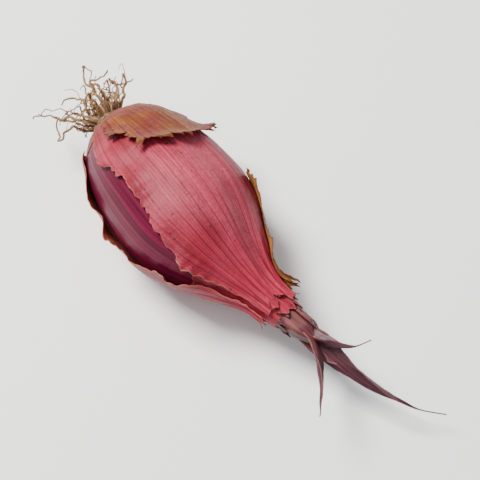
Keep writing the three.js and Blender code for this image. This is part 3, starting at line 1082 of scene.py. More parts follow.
class TanSkin(Finish):
    """What is left of an older skin: golden tan, streaked brown, stained red, papery."""

    label = "tan_skin"
    specular = 0.18
    gold = ground = paint("6c2f0b")
    straw = paint("84491a")
    brown = paint("46200f")
    stain = paint("662022")
    umber = paint("2a140b")
    lining = paint("a2713f")

    def lay(self, on: NodeBench) -> tuple[Socket, Socket]:
        """Lays streaks, stains, veins, specks and a brown torn rim over the skin.

        Args:
            on: The bench of the material's tree.

        Returns:
            The sockets of the roughness and of the height of the relief.
        """
        groups = self.groups
        broad = self.mask(groups.streaks, across=0.6, along=0.08, seed=12.0, low=0.35, high=0.65)
        fine = self.mask(groups.streaks, across=2.6, along=0.1, seed=13.0, low=0.4, high=0.65)
        stain = self.mask(groups.blotches, size=4.0, seed=14.0, low=0.44, high=0.6)
        grit = self.mask(groups.blotches, size=0.45, seed=15.0, low=0.3, high=0.7)
        vein = self.mask(groups.veins, count=52.0, width=0.2, wander=1.6, seed=0.5)
        self.cover(self.straw, broad)
        self.cover(self.brown, fine, 0.6)
        self.cover(self.stain, stain, 0.7)
        self.cover(self.umber, vein, 0.42)
        self.cover(self.lining, self.carried("inside"), 0.7)
        self.cover(self.umber, self.mask(groups.specks, spacing=0.8, radius=0.35, share=0.3), 0.6)
        self.cover(self.brown, self.mask(groups.rim, width=0.3, seed=16.0), 0.6)
        height = on.plus(on.times(fine, 0.6), on.times(grit, 0.4))
        height = on.plus(height, on.times(vein, 0.5))
        return on.plus(0.42, on.times(grit, 0.2)), height


class DryLeaf(Finish):
    """Dried leaf bases and ends: pink at the neck, ageing to grey purple at the tips."""

    label = "dry_leaf"
    specular = 0.35
    pink = ground = paint("8f2c3c")
    russet = paint("5c2a24")
    grape = paint("431627")
    slate = paint("24101a")
    fibre = paint("7a4a46")

    def lay(self, on: NodeBench) -> tuple[Socket, Socket]:
        """Lays the ageing and the fibres over the leaf.

        Args:
            on: The bench of the material's tree.

        Returns:
            The sockets of the roughness and of the height of the relief.
        """
        groups = self.groups
        fine = self.mask(groups.streaks, across=3.4, along=0.12, seed=21.0, low=0.42, high=0.68)
        broad = self.mask(groups.streaks, across=0.9, along=0.1, seed=22.0, low=0.35, high=0.65)
        patch = self.mask(groups.blotches, size=3.0, seed=23.0, low=0.4, high=0.65)
        age = on.plus(self.carried("tip"), on.times(on.minus(broad, 0.5), 0.2))
        self.cover(self.russet, on.between(age, 0.1, 0.4))
        self.cover(self.grape, on.between(age, 0.3, 0.65))
        self.cover(self.slate, patch, 0.5)
        self.cover(self.fibre, fine, 0.4)
        self.cover(self.slate, self.carried("vein"), 0.4)
        self.cover(self.fibre, self.mask(groups.rim, width=0.22, seed=24.0), 0.45)
        return on.plus(0.46, on.times(fine, 0.2)), fine


class DriedRoot(Finish):
    """Dried roots: straw, darker where they leave the plate."""

    label = "dried_root"
    specular = 0.3
    relief = 0.03 * MM
    straw = ground = paint("967450")
    tan = paint("735236")
    dark = paint("3d291c")

    def lay(self, on: NodeBench) -> tuple[Socket, Socket]:
        """Lays patches and dark root bases over the straw colour.

        Args:
            on: The bench of the material's tree.

        Returns:
            The sockets of the roughness and of the height of the relief.
        """
        blotches = self.groups.blotches
        fine = self.mask(blotches, size=0.4, seed=32.0, low=0.3, high=0.7)
        self.cover(self.tan, self.mask(blotches, size=1.6, seed=31.0, low=0.38, high=0.62))
        self.cover(self.dark, on.minus(1.0, on.between(self.carried("tip"), 0.0, 0.3)), 0.7)
        return on.plus(0.62, on.times(fine, 0.2)), fine


class Cork(Finish):
    """The corky plate that the roots grow from: rough grey brown."""

    label = "root_plate"
    specular = 0.25
    relief = 0.12 * MM
    bark = ground = paint("553a28")
    pale = paint("8a6c4c")
    dark = paint("271a13")

    def lay(self, on: NodeBench) -> tuple[Socket, Socket]:
        """Lays pits and pale grains over the cork.

        Args:
            on: The bench of the material's tree.

        Returns:
            The sockets of the roughness and of the height of the relief.
        """
        blotches = self.groups.blotches
        grain = self.mask(blotches, size=0.4, seed=42.0, low=0.35, high=0.65)
        self.cover(self.pale, self.mask(blotches, size=1.1, seed=41.0, low=0.4, high=0.6))
        self.cover(self.dark, grain, 0.6)
        return on.plus(0.75, on.times(grain, 0.15)), grain


@dataclass(frozen=True)
class Relief:
    """A layer's veins and crinkles, with their depths and sizes in millimetres."""

    veins: float
    vein_depth: float
    wander: float
    crinkle_depth: float
    crinkle_size: float
    seed: float

    def values(self, finish: Finish, **sizes: float) -> Values:
        """The inputs of a geometry node tree that lays this relief.

        Args:
            finish: The finish that the tree puts on.
            sizes: The tree's own sizes by name, in millimetres.

        Returns:
            The tree's inputs by name.
        """
        return {
            "Vein Count": self.veins,
            "Vein Depth": self.vein_depth * MM,
            "Wander": self.wander,
            "Crinkle Depth": self.crinkle_depth * MM,
            "Crinkle Size": self.crinkle_size * MM,
            "Seed": self.seed,
            "Material": finish.material,
        } | {name: size * MM for name, size in sizes.items()}


class Body(Enum):
    """The bodies that a piece can ride on."""

    WHOLE = "root"


def settle(piece: Piece, slot: str, *nodes: str) -> Piece:
    """Puts a finished piece on its body, and hides the solids that it replaces.

    Args:
        piece: The finished object.
        slot: The material slot that it takes its finish from. It is not used.
        nodes: The solids that it replaces.

    Returns:
        The same object.
    """
    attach(piece, Body.WHOLE.value)
    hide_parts(*nodes)
    return piece


@dataclass
class LivingBulb:
    """The living bulb, which shows through the split skin, and its dished root end."""

    form: BulbForm
    trees: ReliefTrees
    swell: float = 0.42
    tip: float = 36.4
    tip_point: float = 37.8
    dimple: float = 0.35
    dimple_rows: int = 8
    crowding: float = 1.25
    rows: int = 130
    columns: int = 180
    floor: float = 0.3
    relief: Relief = Relief(40.0, 0.05, 1.2, 0.03, 5.0, 2.0)

    def patch(self) -> Patch:
        """The bulb's closed grid, from the middle of its root end to its tip.

        Returns:
            The grid.
        """
        dish = np.linspace(0.0, 1.0, self.dimple_rows)[:-1]
        body = 1.0 - (1.0 - np.linspace(0.0, 1.0, self.rows)) ** self.crowding
        along = [self.dimple * (1 - dish**2), self.tip * body, [self.tip_point]]
        along = np.concatenate(along)[:, None]
        share = np.concatenate([dish, np.ones(self.rows), [0.0]])[:, None]
        angle = all_round(self.columns)
        radius = (self.form.radius(np.maximum(along, 0.0), angle) + self.swell) * share
        points = self.form.about(along, angle, radius, self.floor)
        return Patch(points, angle, along, lengthwise(angle, along), closed=True)

    def build(self, finish: GlossyScale) -> Piece:
        """Builds and dresses the bulb.

        Args:
            finish: The glossy scale's finish.

        Returns:
            The finished piece.
        """
        values = self.relief.values(finish, Floor=self.floor)
        bulb = grow(object_of("bulb_scale", [self.patch()]), self.trees.form, values)
        return settle(bulb, "living_bulb", "living_bulb")


@dataclass
class OuterSkin:
    """The dusty outer skin, split lengthwise, ragged round the roots and torn to a collar."""

    form: BulbForm
    trees: ReliefTrees
    start: float = 1.7
    end: float = 41.3
    split_angle: float = 0.98
    split_least: float = 0.13
    split_at_root: float = 0.42
    split_at_belly: float = 0.34
    belly: float = 17.0
    belly_reach: float = 9.0
    root_reach: float = 3.5
    out: float = 0.7
    thickness: float = 0.13
    edge_lift: float = 0.85
    lip: float = 0.7
    flare: float = 0.3
    collar_start: float = 38.0
    root_flare_length: float = 2.4
    start_tear: tuple[float, float, float] = (0.35, 0.4, 0.35)
    end_tear: tuple[float, float, float] = (1.1, 1.7, 0.6)
    rows: int = 150
    columns: int = 300
    ring_rows: int = 70
    ring_columns: int = 240
    vein_pitch: float = TURN / 46
    notches: tuple[tuple[float, float, float], ...] = (
        (1.9, 2.6, 0.10),
        (2.9, 3.4, 0.07),
        (4.1, 1.8, 0.12),
        (5.2, 3.0, 0.08),
        (6.3, 1.5, 0.09),
    )
    neck_ring: tuple[float, float, float, float] = (31.0, 43.0, 2.2, 0.44)
    root_ring: tuple[float, float, float, float] = (0.75, 3.2, 0.6, 0.46)
    ring_thickness: float = 0.07
    ring_turn: float = 0.985 * TURN
    sliver_start: float = 39.0
    sliver_rows: int = 26
    sliver_columns: int = 7
    sliver_rim: float = 0.12
    sliver_count: int = 9
    sliver_thickness: float = 0.09
    relief: Relief = Relief(46.0, 0.042, 1.3, 0.12, 3.5, 5.0)

    def split_half_angle(self, along: Array) -> Array:
        """Half the angle of the split, which is widest at the belly and at the root end.

        Args:
            along: Places along the axis.

        Returns:
            Half the split's angle at each place.
        """
        at_root = self.split_at_root * np.exp(-along / self.root_reach)
        away = (along - self.belly) / self.belly_reach
        return self.split_least + at_root + self.split_at_belly * np.exp(-(away**2))

    def torn_side(self, along: Array, seed: int) -> Array:
        """The fine tearing along the veins: straight runs, and steps from one vein to the next.

        Args:
            along: Places along the axis.
            seed: Which tear this is.

        Returns:
            How far the edge stands out at each place.
        """
        return ragged(along, 3.7, seed, 5.0) + 0.5 * frayed(along, 1.2, seed + 1)

    def lift(self, along: Array, to_edge: Array, first: Array) -> Array:
        """How far the skin lifts off the bulb towards the split, in uneven lips.

        Args:
            along: Places along the axis.
            to_edge: How far round from the split's edge they are, as a share of a turn.
            first: Whether they are nearer the skin's first edge than its last.

        Returns:
            The lift at each place.
        """
        body = smooth_step(along / 6) * (1 - smooth_step((along - 30) / 8))
        wave = 1 + 0.5 * np.sin(along * 0.9)
        lips = np.where(first, ragged(along, 2.7, 51), ragged(along, 3.3, 52))
        rise = self.edge_lift * np.exp(-to_edge * 26) * wave
        return body * (rise + self.lip * np.exp(-to_edge * 60) * lips)

    def patch(self) -> Patch:
        """The skin's open grid, one edge of the split to the other.

        Returns:
            The grid.
        """
        r = crowded(self.rows)[:, None]
        c = crowded(self.columns)[None, :]
        around = self.split_angle + TURN * c
        start = self.start + torn(around, *self.start_tear[:2])
        start_tear = self.start_tear[2] * frayed(around, self.vein_pitch, 11)
        end = self.end + torn(around, *self.end_tear[:2])
        end_tear = self.end_tear[2] * frayed(around, self.vein_pitch, 21)
        for angle, depth, width in self.notches:
            end = end - depth * np.exp(-(((around - angle) / width) ** 2))
        along = between_tears(r, start, end, start_tear, end_tear)
        first = c < 0.5
        wander = torn(along * 0.4, 1.0, np.where(first, 0.2, 1.3))
        steps = np.where(first, self.torn_side(along, 31), self.torn_side(along, 41))
        half = self.split_half_angle(along) + 0.04 * wander + 0.03 * steps
        angle = self.split_angle + half + (TURN - 2 * half) * c
        to_edge = np.minimum(c, 1 - c)
        at_root = 1 - smooth_step(r * (end - start) / self.root_flare_length)
        loose = self.flare * (0.6 + 0.4 * ragged(around, 0.6, 15)) * at_root
        loose = self.flare * smooth_step((along - self.collar_start) / 4) + loose
        lift = self.lift(along, to_edge, first) + self.form.gathers(along, angle)
        points = self.form.surface(along, angle, self.out + lift + loose, self.thickness)
        girth = (TURN - 2 * half) * (self.form.radius(along, angle) + self.out)
        rim = np.minimum(to_edge * girth, np.minimum(r, 1 - r) * (end - start))
        return Patch(points, angle, along, lengthwise(angle, along), rim)

    def ring(self, start: float, end: float, reach: float, out: float, seed: int) -> Patch:
        """What is left of a skin further in: a ring round the bulb, torn at both of its ends.

        Args:
            start: How far along its first end is.
            end: How far along its last end is.
            reach: How far the tears reach from its first end.
            out: How far out from the living bulb it lies.
            seed: Which tear this is.

        Returns:
            Its open grid.
        """
        r = crowded(self.ring_rows)[:, None]
        angle = math.pi + np.linspace(0.0, self.ring_turn, self.ring_columns)[None, :]
        fine = frayed(angle, self.vein_pitch, seed + 1)
        first = start + reach * (ragged(angle, 0.5, seed) + 0.3 * fine)
        last = end + torn(angle, 0.6, 3.1) + 0.6 * frayed(angle, self.vein_pitch, seed + 2)
        along = first + (last - first) * r
        wave = 0.02 * np.sin(19 * angle + 0.3 * along)
        points = self.form.surface(along, angle, out + wave, 0.0)
        rim = np.minimum(last - along, along - first)
        return Patch(points, angle, along, lengthwise(angle + seed, along), rim)

    def sliver(self, angle: float, size: tuple[float, float, float], lean: float) -> Patch:
        """A narrow sliver that is torn loose at one end and curls away from the bulb.

        Args:
            angle: How far round the axis it is still attached.
            size: Its length, its width and how far its tip stands out.
            lean: How far round the axis its tip leans.

        Returns:
            Its open grid.
        """
        t = np.linspace(0.0, 1.0, self.sliver_rows)[:, None]
        c = np.linspace(-1.0, 1.0, self.sliver_columns)[None, :]
        length, width, lift = size
        along = self.sliver_start + length * (t - 0.22 * t**3)
        taper = (1 - 0.94 * t**1.3) * (0.35 + 0.65 * smooth_step(t * 5))
        half = 0.5 * width * taper * (0.85 + 0.15 * np.sin(7 * t + self.sliver_start))
        twist = 2.2 * lean * t * t
        out = self.out + 0.1 + lift * t**1.8 + half * c * np.sin(twist)
        radius = self.form.radius(along, angle)
        round_axis = angle + lean * 0.2 * t**2 + half * c * np.cos(twist) / radius
        points = self.form.surface(along, round_axis, out, 0.0)
        rim = (1 - np.abs(c)) * half + self.sliver_rim
        return Patch(points, round_axis, along, lengthwise(round_axis, along), rim)

    def slivers(self) -> list[Patch]:
        """The slivers round the collar, placed by seeded draws.

        Returns:
            Their open grids.
        """
        draw = np.random.default_rng(12)
        loose = []
        for k in range(self.sliver_count):
            step = (k + draw.uniform(0.1, 0.9)) / self.sliver_count
            size = (draw.uniform(2.0, 4.2), draw.uniform(0.5, 1.0), draw.uniform(0.5, 1.7))
            angle = self.split_angle + 0.3 + 5.6 * step
            loose.append(self.sliver(angle, size, draw.uniform(-1.0, 1.0)))
        return loose

    def build(self, finish: DustySkin) -> list[Piece]:
        """Builds and dresses the skin, the torn ends inside it, and its slivers.

        Args:
            finish: The dusty skin's finish.

        Returns:
            The finished pieces.
        """
        inner = replace(self.relief, crinkle_depth=0.03, seed=6.0)
        loose = replace(self.relief, vein_depth=0.0, crinkle_size=1.2)
        rings = [self.ring(*self.neck_ring, seed=61), self.ring(*self.root_ring, seed=66)]
        layers = (
            ("dusty_outer_skin", [self.patch()], self.relief, self.thickness),
            ("inner_skin_ends", rings, inner, self.ring_thickness),
            ("skin_slivers", self.slivers(), loose, self.sliver_thickness),
        )
        pieces = []
        for name, patches, relief, thickness in layers:
            values = relief.values(finish, Thickness=thickness)
            piece = grow(object_of(name, patches), self.trees.sheet, values)
            pieces.append(settle(piece, "dusty_skin", "outer_skin"))
        return pieces


@dataclass
class TanRemnant:
    """What is left of an older skin: a torn patch whose margin curls away from the bulb."""

    form: BulbForm
    trees: ReliefTrees
    name: str
    node: str
    start: float
    end: tuple[float, float]
    left: tuple[float, float]
    right: tuple[float, float]
    bulge: float
    curl: float
    phase: float
    seed: int
    out: float = 0.98
    thickness: float = 0.11
    flat_share: float = 0.45
    rows: int = 130
    columns: int = 130

    def torn_side(self, along: Array, phase: float, seed: int) -> Array:
        """The tearing of one long side, in steps from vein to vein.

        Args:
            along: Places along the axis.
            phase: Which wandering line this is.
            seed: Which tear this is.

        Returns:
            How far round the edge stands out at each place.
        """
        steps = 0.055 * ragged(along, 2.1, seed, 4.0) + 0.018 * frayed(along, 0.7, seed + 1)
        return torn(0.6 * along, 0.04, phase) + 0.07 * ragged(along, 4.3, seed + 9) + steps

    def patch(self) -> Patch:
        """The remnant's open grid.

        Returns:
            The grid.
        """
        r = crowded(self.rows)[:, None]
        c = crowded(self.columns)[None, :]
        last = self.end[0] + self.end[1] * np.sin(np.pi * c)
        at_first = self.left[0] + (self.right[0] - self.left[0]) * c
        at_last = self.left[1] + (self.right[1] - self.left[1]) * c
        start_tear = torn(c * 7, 0.3, self.phase) + 0.35 * frayed(at_first, 0.13, self.seed + 4)
        end_tear = torn(c * 8, 0.7, self.phase + 2) + 0.42 * frayed(at_last, 0.08, self.seed + 5)
        end_tear = end_tear + 0.7 * ragged(at_last, 0.27, self.seed + 6, 3.0)
        along = between_tears(r, self.start, last, start_tear, end_tear)
        q = (along - self.start) / (sum(self.end) - self.start)
        left = self.left[0] + (self.left[1] - self.left[0]) * q
        bulge = self.bulge * smooth_step(q * 1.5 - 0.5)
        right = self.right[0] + (self.right[1] - self.right[0]) * q + bulge
        left_tear = self.torn_side(along, self.phase, self.seed)
        right_tear = self.torn_side(along, self.phase + 1, self.seed + 2)
        angle = between_tears(c, left, right, left_tear, right_tear)
        share = (angle - left) / (right - left)
        reach_round = np.abs(2 * share - 1)
        far = self.end[0] + self.end[1] * np.sin(np.pi * np.clip(share, 0.0, 1.0))
        reach_along = np.maximum(0.0, 2 * (along - self.start) / (far - self.start) - 1)
        edge = np.minimum(1.1, (reach_round**6 + reach_along**6) ** (1 / 6))
        curled = np.maximum(0, (edge - self.flat_share) / (1 - self.flat_share)) ** 2
        lift = self.curl * curled * (1 + 0.45 * np.sin(5 * angle + 0.8 * along))
        lift = lift + self.form.gathers(along, angle)
        points = self.form.surface(along, angle, self.out + lift, 0.0)
        girth = (right - left) * (self.form.radius(along, angle) + self.out)
        to_end = np.minimum(r, 1 - r) * (last - self.start)
        rim = np.minimum(np.minimum(c, 1 - c) * girth, to_end)
        return Patch(points, angle, along, lengthwise(angle, along), rim)

    def build(self, finish: TanSkin) -> Piece:
        """Builds and dresses the remnant.

        Args:
            finish: The tan skin's finish.

        Returns:
            The finished piece.
        """
        relief = Relief(52.0, 0.045, 1.6, 0.2, 2.6, self.phase)
        values = relief.values(finish, Thickness=self.thickness)
        piece = grow(object_of(self.name, [self.patch()]), self.trees.sheet, values)
        return settle(piece, "tan_skin", self.node)


@dataclass(frozen=True)
class LeafEnd:
    """One dried leaf: how long and wide it is, and how it leans, curls, twists and lies."""

    length: float
    width: float
    side: float
    up: float
    curl: float
    twist: float
    roll: float


@dataclass
class DryNeck:
    """The dry neck: a fluted core, the old leaf bases wrapped round it, and their wispy ends."""

    form: BulbForm
    trees: ReliefTrees
    start: float = 38.3
    end: float = 48.2
    radius: float = 2.1
    taper: float = 0.045
    flutes: int = 5
    flute_depth: float = 0.16
    twist: float = 0.9
    leaf_root: float = 44.5
    thickness: float = 0.11
    grain_radius: float = 2.0
    core_rows: int = 60
    core_columns: int = 72
    wrap_rows: int = 70
    wrap_columns: int = 60
    leaf_rows: int = 90
    leaf_columns: int = 21
    leaf_veins: float = 22.0
    leaf_floor: float = 0.25
    parting: float = 2.2
    drawn_out: float = 1.16
    leaves: tuple[LeafEnd, ...] = (
        LeafEnd(19, 4.2, 0.1, -0.26, 0.42, 1.7, 0.3),
        LeafEnd(10.5, 3.6, -0.24, -0.02, -0.8, -1.3, 2.2),
        LeafEnd(7, 3.0, 0.16, 0.26, 1.1, 0.9, 3.6),
        LeafEnd(4.5, 2.8, -0.16, -0.3, 0.4, 0.7, 5.0),
    )
    wraps: tuple[tuple[float, float, float], ...] = (
        (0.4, 3.6, 44.5),
        (2.6, 3.3, 46.8),
        (4.6, 3.0, 43.0),
    )
    relief: Relief = Relief(16.0, 0.06, 0.8, 0.07, 1.4, 9.0)

    def core_radius(self, along: Array, angle: Array) -> Array:
        """The fluted core's radius.

        Args:
            along: Places along the axis.
            angle: Angles round the axis.

        Returns:
            The radius at each place.
        """
        inside = along - self.start
        end = 1 - 0.45 * smooth_step((along - 46) / 2.4)
        flute = self.flute_depth * np.cos(self.flutes * angle + self.twist * inside * 0.3)
        return (self.radius - self.taper * inside + flute) * end

    def core(self) -> Patch:
        """The core's closed grid.

        Returns:
            The grid.
        """
        body = np.linspace(self.start, self.end, self.core_rows)
        along = np.concatenate([[self.start], body, [self.end + 0.4]])[:, None]
        share = np.concatenate([[0.0], np.ones(self.core_rows), [0.0]])[:, None]
        angle = all_round(self.core_columns)
        points = self.form.about(along, angle, self.core_radius(along, angle) * share, 0.0)
        age = smooth_step((along - self.start) / 16)
        grain = lengthwise(angle, along, self.grain_radius)
        return Patch(points, angle, along, grain, tip=age, closed=True)

    def wrap(self, first: float, span: float, end: float) -> Patch:
        """An old leaf base that is wrapped part of the way round the core.

        Args:
            first: The angle at which it starts.
            span: How far round it goes.
            end: How far along its torn end is.

        Returns:
            Its open grid.
        """
        r = np.linspace(0.0, 1.0, self.wrap_rows)[:, None]
        c = np.linspace(0.0, 1.0, self.wrap_columns)[None, :]
        tip = end + torn(c * 6 + first, 0.9, first) + 0.8 * ragged(c, 0.09, int(10 * end), 2.0)
        along = self.start + 0.2 + (tip - self.start - 0.2) * r
        angle = first + 0.35 * r * smooth_step(r) + (span - 0.5 * r**2) * c
        radius = self.core_radius(along, angle) + 0.1 + 0.2 * c + 0.25 * r**5
        points = self.form.about(along, angle, radius, 0.0)
        rim = np.minimum(np.minimum(c, 1 - c) * span * radius, (1 - r) * (tip - self.start))
        grain = lengthwise(angle, along, self.grain_radius)
        return Patch(points, angle, along, grain, rim, 0.05 + 0.5 * r**2.5)

    def leaf(self, leaf: LeafEnd, phase: float) -> Patch:
        """A dried leaf end: folded along its middle, waved, twisted, and drawn out to a thread.

        Args:
            leaf: Its sizes.
            phase: Which leaf this is.

        Returns:
            Its open grid.
        """
        t = np.linspace(0.0, 1.0, self.leaf_rows)[:, None] * self.drawn_out
        c = np.linspace(-1.0, 1.0, self.leaf_columns)[None, :]
        s = (leaf.length + self.end - self.leaf_root) * t
        spread = np.maximum(0.0, s - self.parting)
        swing = leaf.curl * spread**2 * 0.028
        bend_side, bend_up = self.form.axis(self.leaf_root + s)
        along = self.leaf_root + s * (1 - 0.14 * abs(leaf.curl) * t * t)
        hook = smooth_step((t - 0.92) / 0.3)
        side = bend_side + leaf.side * spread + swing + 0.8 * hook
        up = bend_up + leaf.up * spread - 0.3 * swing + 1.1 * hook
        thread = 1 - 0.75 * smooth_step((t - 0.9) / 0.2)
        narrowing = (1 - 0.86 * np.minimum(t, 1.0) ** 1.6) * thread
        half = (leaf.width / 2) * (0.6 + 0.4 * smooth_step(t * 4)) * narrowing
        nicks = 0.05 * ragged(t, 0.05, int(9 * leaf.length), 2.0)
        half = half * (1 + 0.07 * np.sin(9 * t + phase) + nicks)
        x = half * c
        fold = 0.3 - 0.55 * half * (1 - np.abs(c) ** 1.4)
        wave = 0.14 * half * np.sin(7 * t + 2.6 * c + phase)
        y = fold + wave + 0.06 * half * np.sin(19 * t + 5 * c + phase)
        angle = leaf.roll + leaf.twist * t
        across = side + x * np.cos(angle) - y * np.sin(angle)
        over = up + x * np.sin(angle) + y * np.cos(angle)
        points = self.form.place(along, across, over, self.leaf_floor)
        grain = np.stack(np.broadcast_arrays(x, phase, s), axis=-1)
        age = 0.22 + 0.6 * smooth_step(s / 9)
        return Patch(points, 0.35 * c, s, grain, (1 - np.abs(c)) * half, age)

    def build(self, finish: DryLeaf) -> list[Piece]:
        """Builds and dresses the core, the wraps and the leaf ends.

        Args:
            finish: The dried leaf's finish.

        Returns:
            The finished pieces.
        """
        core_values = self.relief.values(finish, Floor=0.0)
        wrap_values = self.relief.values(finish, Thickness=self.thickness)
        leaf_values = wrap_values | {"Vein Count": self.leaf_veins}
        wraps = [self.wrap(*wrap) for wrap in self.wraps]
        blades = [self.leaf(leaf, 1.3 * k) for k, leaf in enumerate(self.leaves)]
        pieces = [
            grow(object_of("neck_core", [self.core()]), self.trees.form, core_values),
            grow(object_of("neck_wraps", wraps), self.trees.sheet, wrap_values),
            grow(object_of("leaf_ends", blades), self.trees.sheet, leaf_values),
        ]
        return [settle(piece, "dry_leaf", "dry_neck") for piece in pieces]


@dataclass
class RootTuft:
    """The corky root plate and its dried roots, which fan out, curl and tangle."""

    form: BulbForm
    trees: ReliefTrees
    plate_radius: float = 2.9
    plate_grain: float = 3.0
    plate_rows: int = 40
    plate_columns: int = 96
    plate_back: float = -1.9
    plate_depth: float = 1.7
    main_count: int = 16
    main_length: tuple[float, float] = (7.5, 5.5)
    main_radius: float = 0.3
    fine_per_main: int = 3
    fine_reach: tuple[float, float] = (0.35, 0.55)
    fine_radius: tuple[float, float] = (0.11, 0.08)
    clearance: float = 1.5
    points_per_root: int = 30
    plate_relief: Relief = Relief(9.0, 0.1, 1.5, 0.3, 0.9, 4.0)
    strand_values: tuple[tuple[str, float | int], ...] = (
        ("Crinkle", 1.1 * MM),
        ("Crinkle Size", 1.5 * MM),
        ("Taper", 0.6),
        ("Seed", 3.0),
        ("Sides", 6),
        ("Steps", 40),
    )

    def uneven(self, size: tuple[float, float], place: float) -> float:
        """A size that changes from root to root: its least, and how much more it may be."""
        return size[0] + size[1] * abs(math.sin(place))

    def route(self, index: float, reach: float, t: Array) -> Array:
        """The line that a root follows.

        Args:
            index: Which root this is. A fraction gives a root between two main ones.
            reach: Its length as a share of a main root's.
            t: Places along it, from 0 to 1.

        Returns:
            Its points.
        """
        share = (index + 0.5) / self.main_count
        s = reach * self.uneven(self.main_length, index * 2.7 + 0.6) * t
        curl = 1.7 * reach * np.maximum(0.0, t) ** 1.6
        wind = (3.9 + 1.7 * math.sin(index * 1.9)) * t * 2
        foot = 0.74 * self.plate_radius * math.sqrt(share)
        radius = foot + (0.25 + 0.62 * share) * s * (1 - 0.32 * t)
        swirl = index * GOLDEN_ANGLE + 0.5 * t * math.sin(index * 3.1)
        along = -0.9 - s * (0.86 - 0.34 * t) + curl * np.sin(wind)
        side = -radius * np.sin(swirl) + curl * np.cos(wind + index)
        up = radius * np.cos(swirl) + curl * np.sin(wind + index) - 0.9 * t * t
        return self.form.place(along, side, up, self.clearance)

    def lines(self) -> Piece:
        """All the roots as thin lines that carry their thickness.

        Returns:
            The object, with one chain of edges for each root.
        """
        t = np.linspace(0.0, 1.0, self.points_per_root)
        roots = [(float(k), 1.0, self.main_radius) for k in range(self.main_count)]
        for k in range(self.main_count * self.fine_per_main):
            index = (k + 0.5) / self.fine_per_main
            reach = self.uneven(self.fine_reach, k * 1.7 + 0.4)
            roots.append((index, reach, self.uneven(self.fine_radius, k * 2.3)))
        routes = [self.route(index, reach, t) for index, reach, _ in roots]
        starts = range(0, len(roots) * len(t), len(t))
        edges = [(start + i, start + i + 1) for start in starts for i in range(len(t) - 1)]
        mesh = bpy.data.meshes.new("roots")
        mesh.from_pydata((np.concatenate(routes) * MM).tolist(), edges, [])
        carry(mesh, "tip", np.tile(t, len(roots)))
        carry(mesh, "thick", np.repeat([radius * MM for _, _, radius in roots], len(t)))
        return linked("roots", mesh)

    def plate(self) -> Patch:
        """The plate's closed grid, lumpy where old roots broke off.

        Returns:
            The grid.
        """
        s = np.linspace(0.0, 1.0, self.plate_rows)[:, None]
        angle = all_round(self.plate_columns)
        swell = np.sin(np.pi * np.minimum(s * 1.25, 1.0) / 2)
        radius = self.plate_radius * swell * (1 + 0.06 * np.sin(5 * angle + 0.7))
        radius = radius * (1 - smooth_step((s - 0.86) / 0.14))
        along = self.plate_back + self.plate_depth * smooth_step(s)
        points = self.form.about(along, angle, radius, 0.0)
        grain = lengthwise(angle, along, self.plate_grain)
        return Patch(points, angle, along, grain, closed=True)

    def build(self, roots: DriedRoot, cork: Cork) -> list[Piece]:
        """Builds and dresses the roots and their plate.

        Args:
            roots: The dried roots' finish.
            cork: The plate's finish.

        Returns:
            The finished pieces.
        """
        strand_values = dict(self.strand_values) | {"Material": roots.material}
        plate_values = self.plate_relief.values(cork, Floor=0.0)
        pieces = [
            grow(self.lines(), self.trees.roots, strand_values),
            grow(object_of("root_plate", [self.plate()]), self.trees.form, plate_values),
        ]
        return [settle(piece, "dried_root", "root_tuft") for piece in pieces]


@dataclass(frozen=True)
class SoftLight:
    """A square soft light, by where it stands round the object."""

    name: str
    azimuth: float
    elevation: float
    distance: float
    size: float
    watts: float
    tint: tuple[float, float, float] = (1.0, 1.0, 1.0)

    def place(self, target: Vector) -> Piece:
        """Places the light, aimed at a point.

        Args:
            target: The point.

        Returns:
            The light.
        """
        lamp = bpy.data.lights.new(self.name, "AREA")
        lamp.size = self.size
        lamp.energy = self.watts
        lamp.color = self.tint
        light = linked(self.name, lamp)
        toward = direction(self.azimuth, self.elevation)
        light.location = target + toward * self.distance
        light.rotation_euler = toward.to_track_quat("Z", "Y").to_euler()
        return light


def direction(azimuth: float, elevation: float) -> Vector:
    """The direction from the object towards a viewer.

    Args:
        azimuth: Degrees round the object. 0 looks along +Y.
        elevation: Degrees above the horizon.

    Returns:
        A unit vector.
    """
    a, e = math.radians(azimuth), math.radians(elevation)
    return Vector((math.sin(a) * math.cos(e), -math.cos(a) * math.cos(e), math.sin(e)))


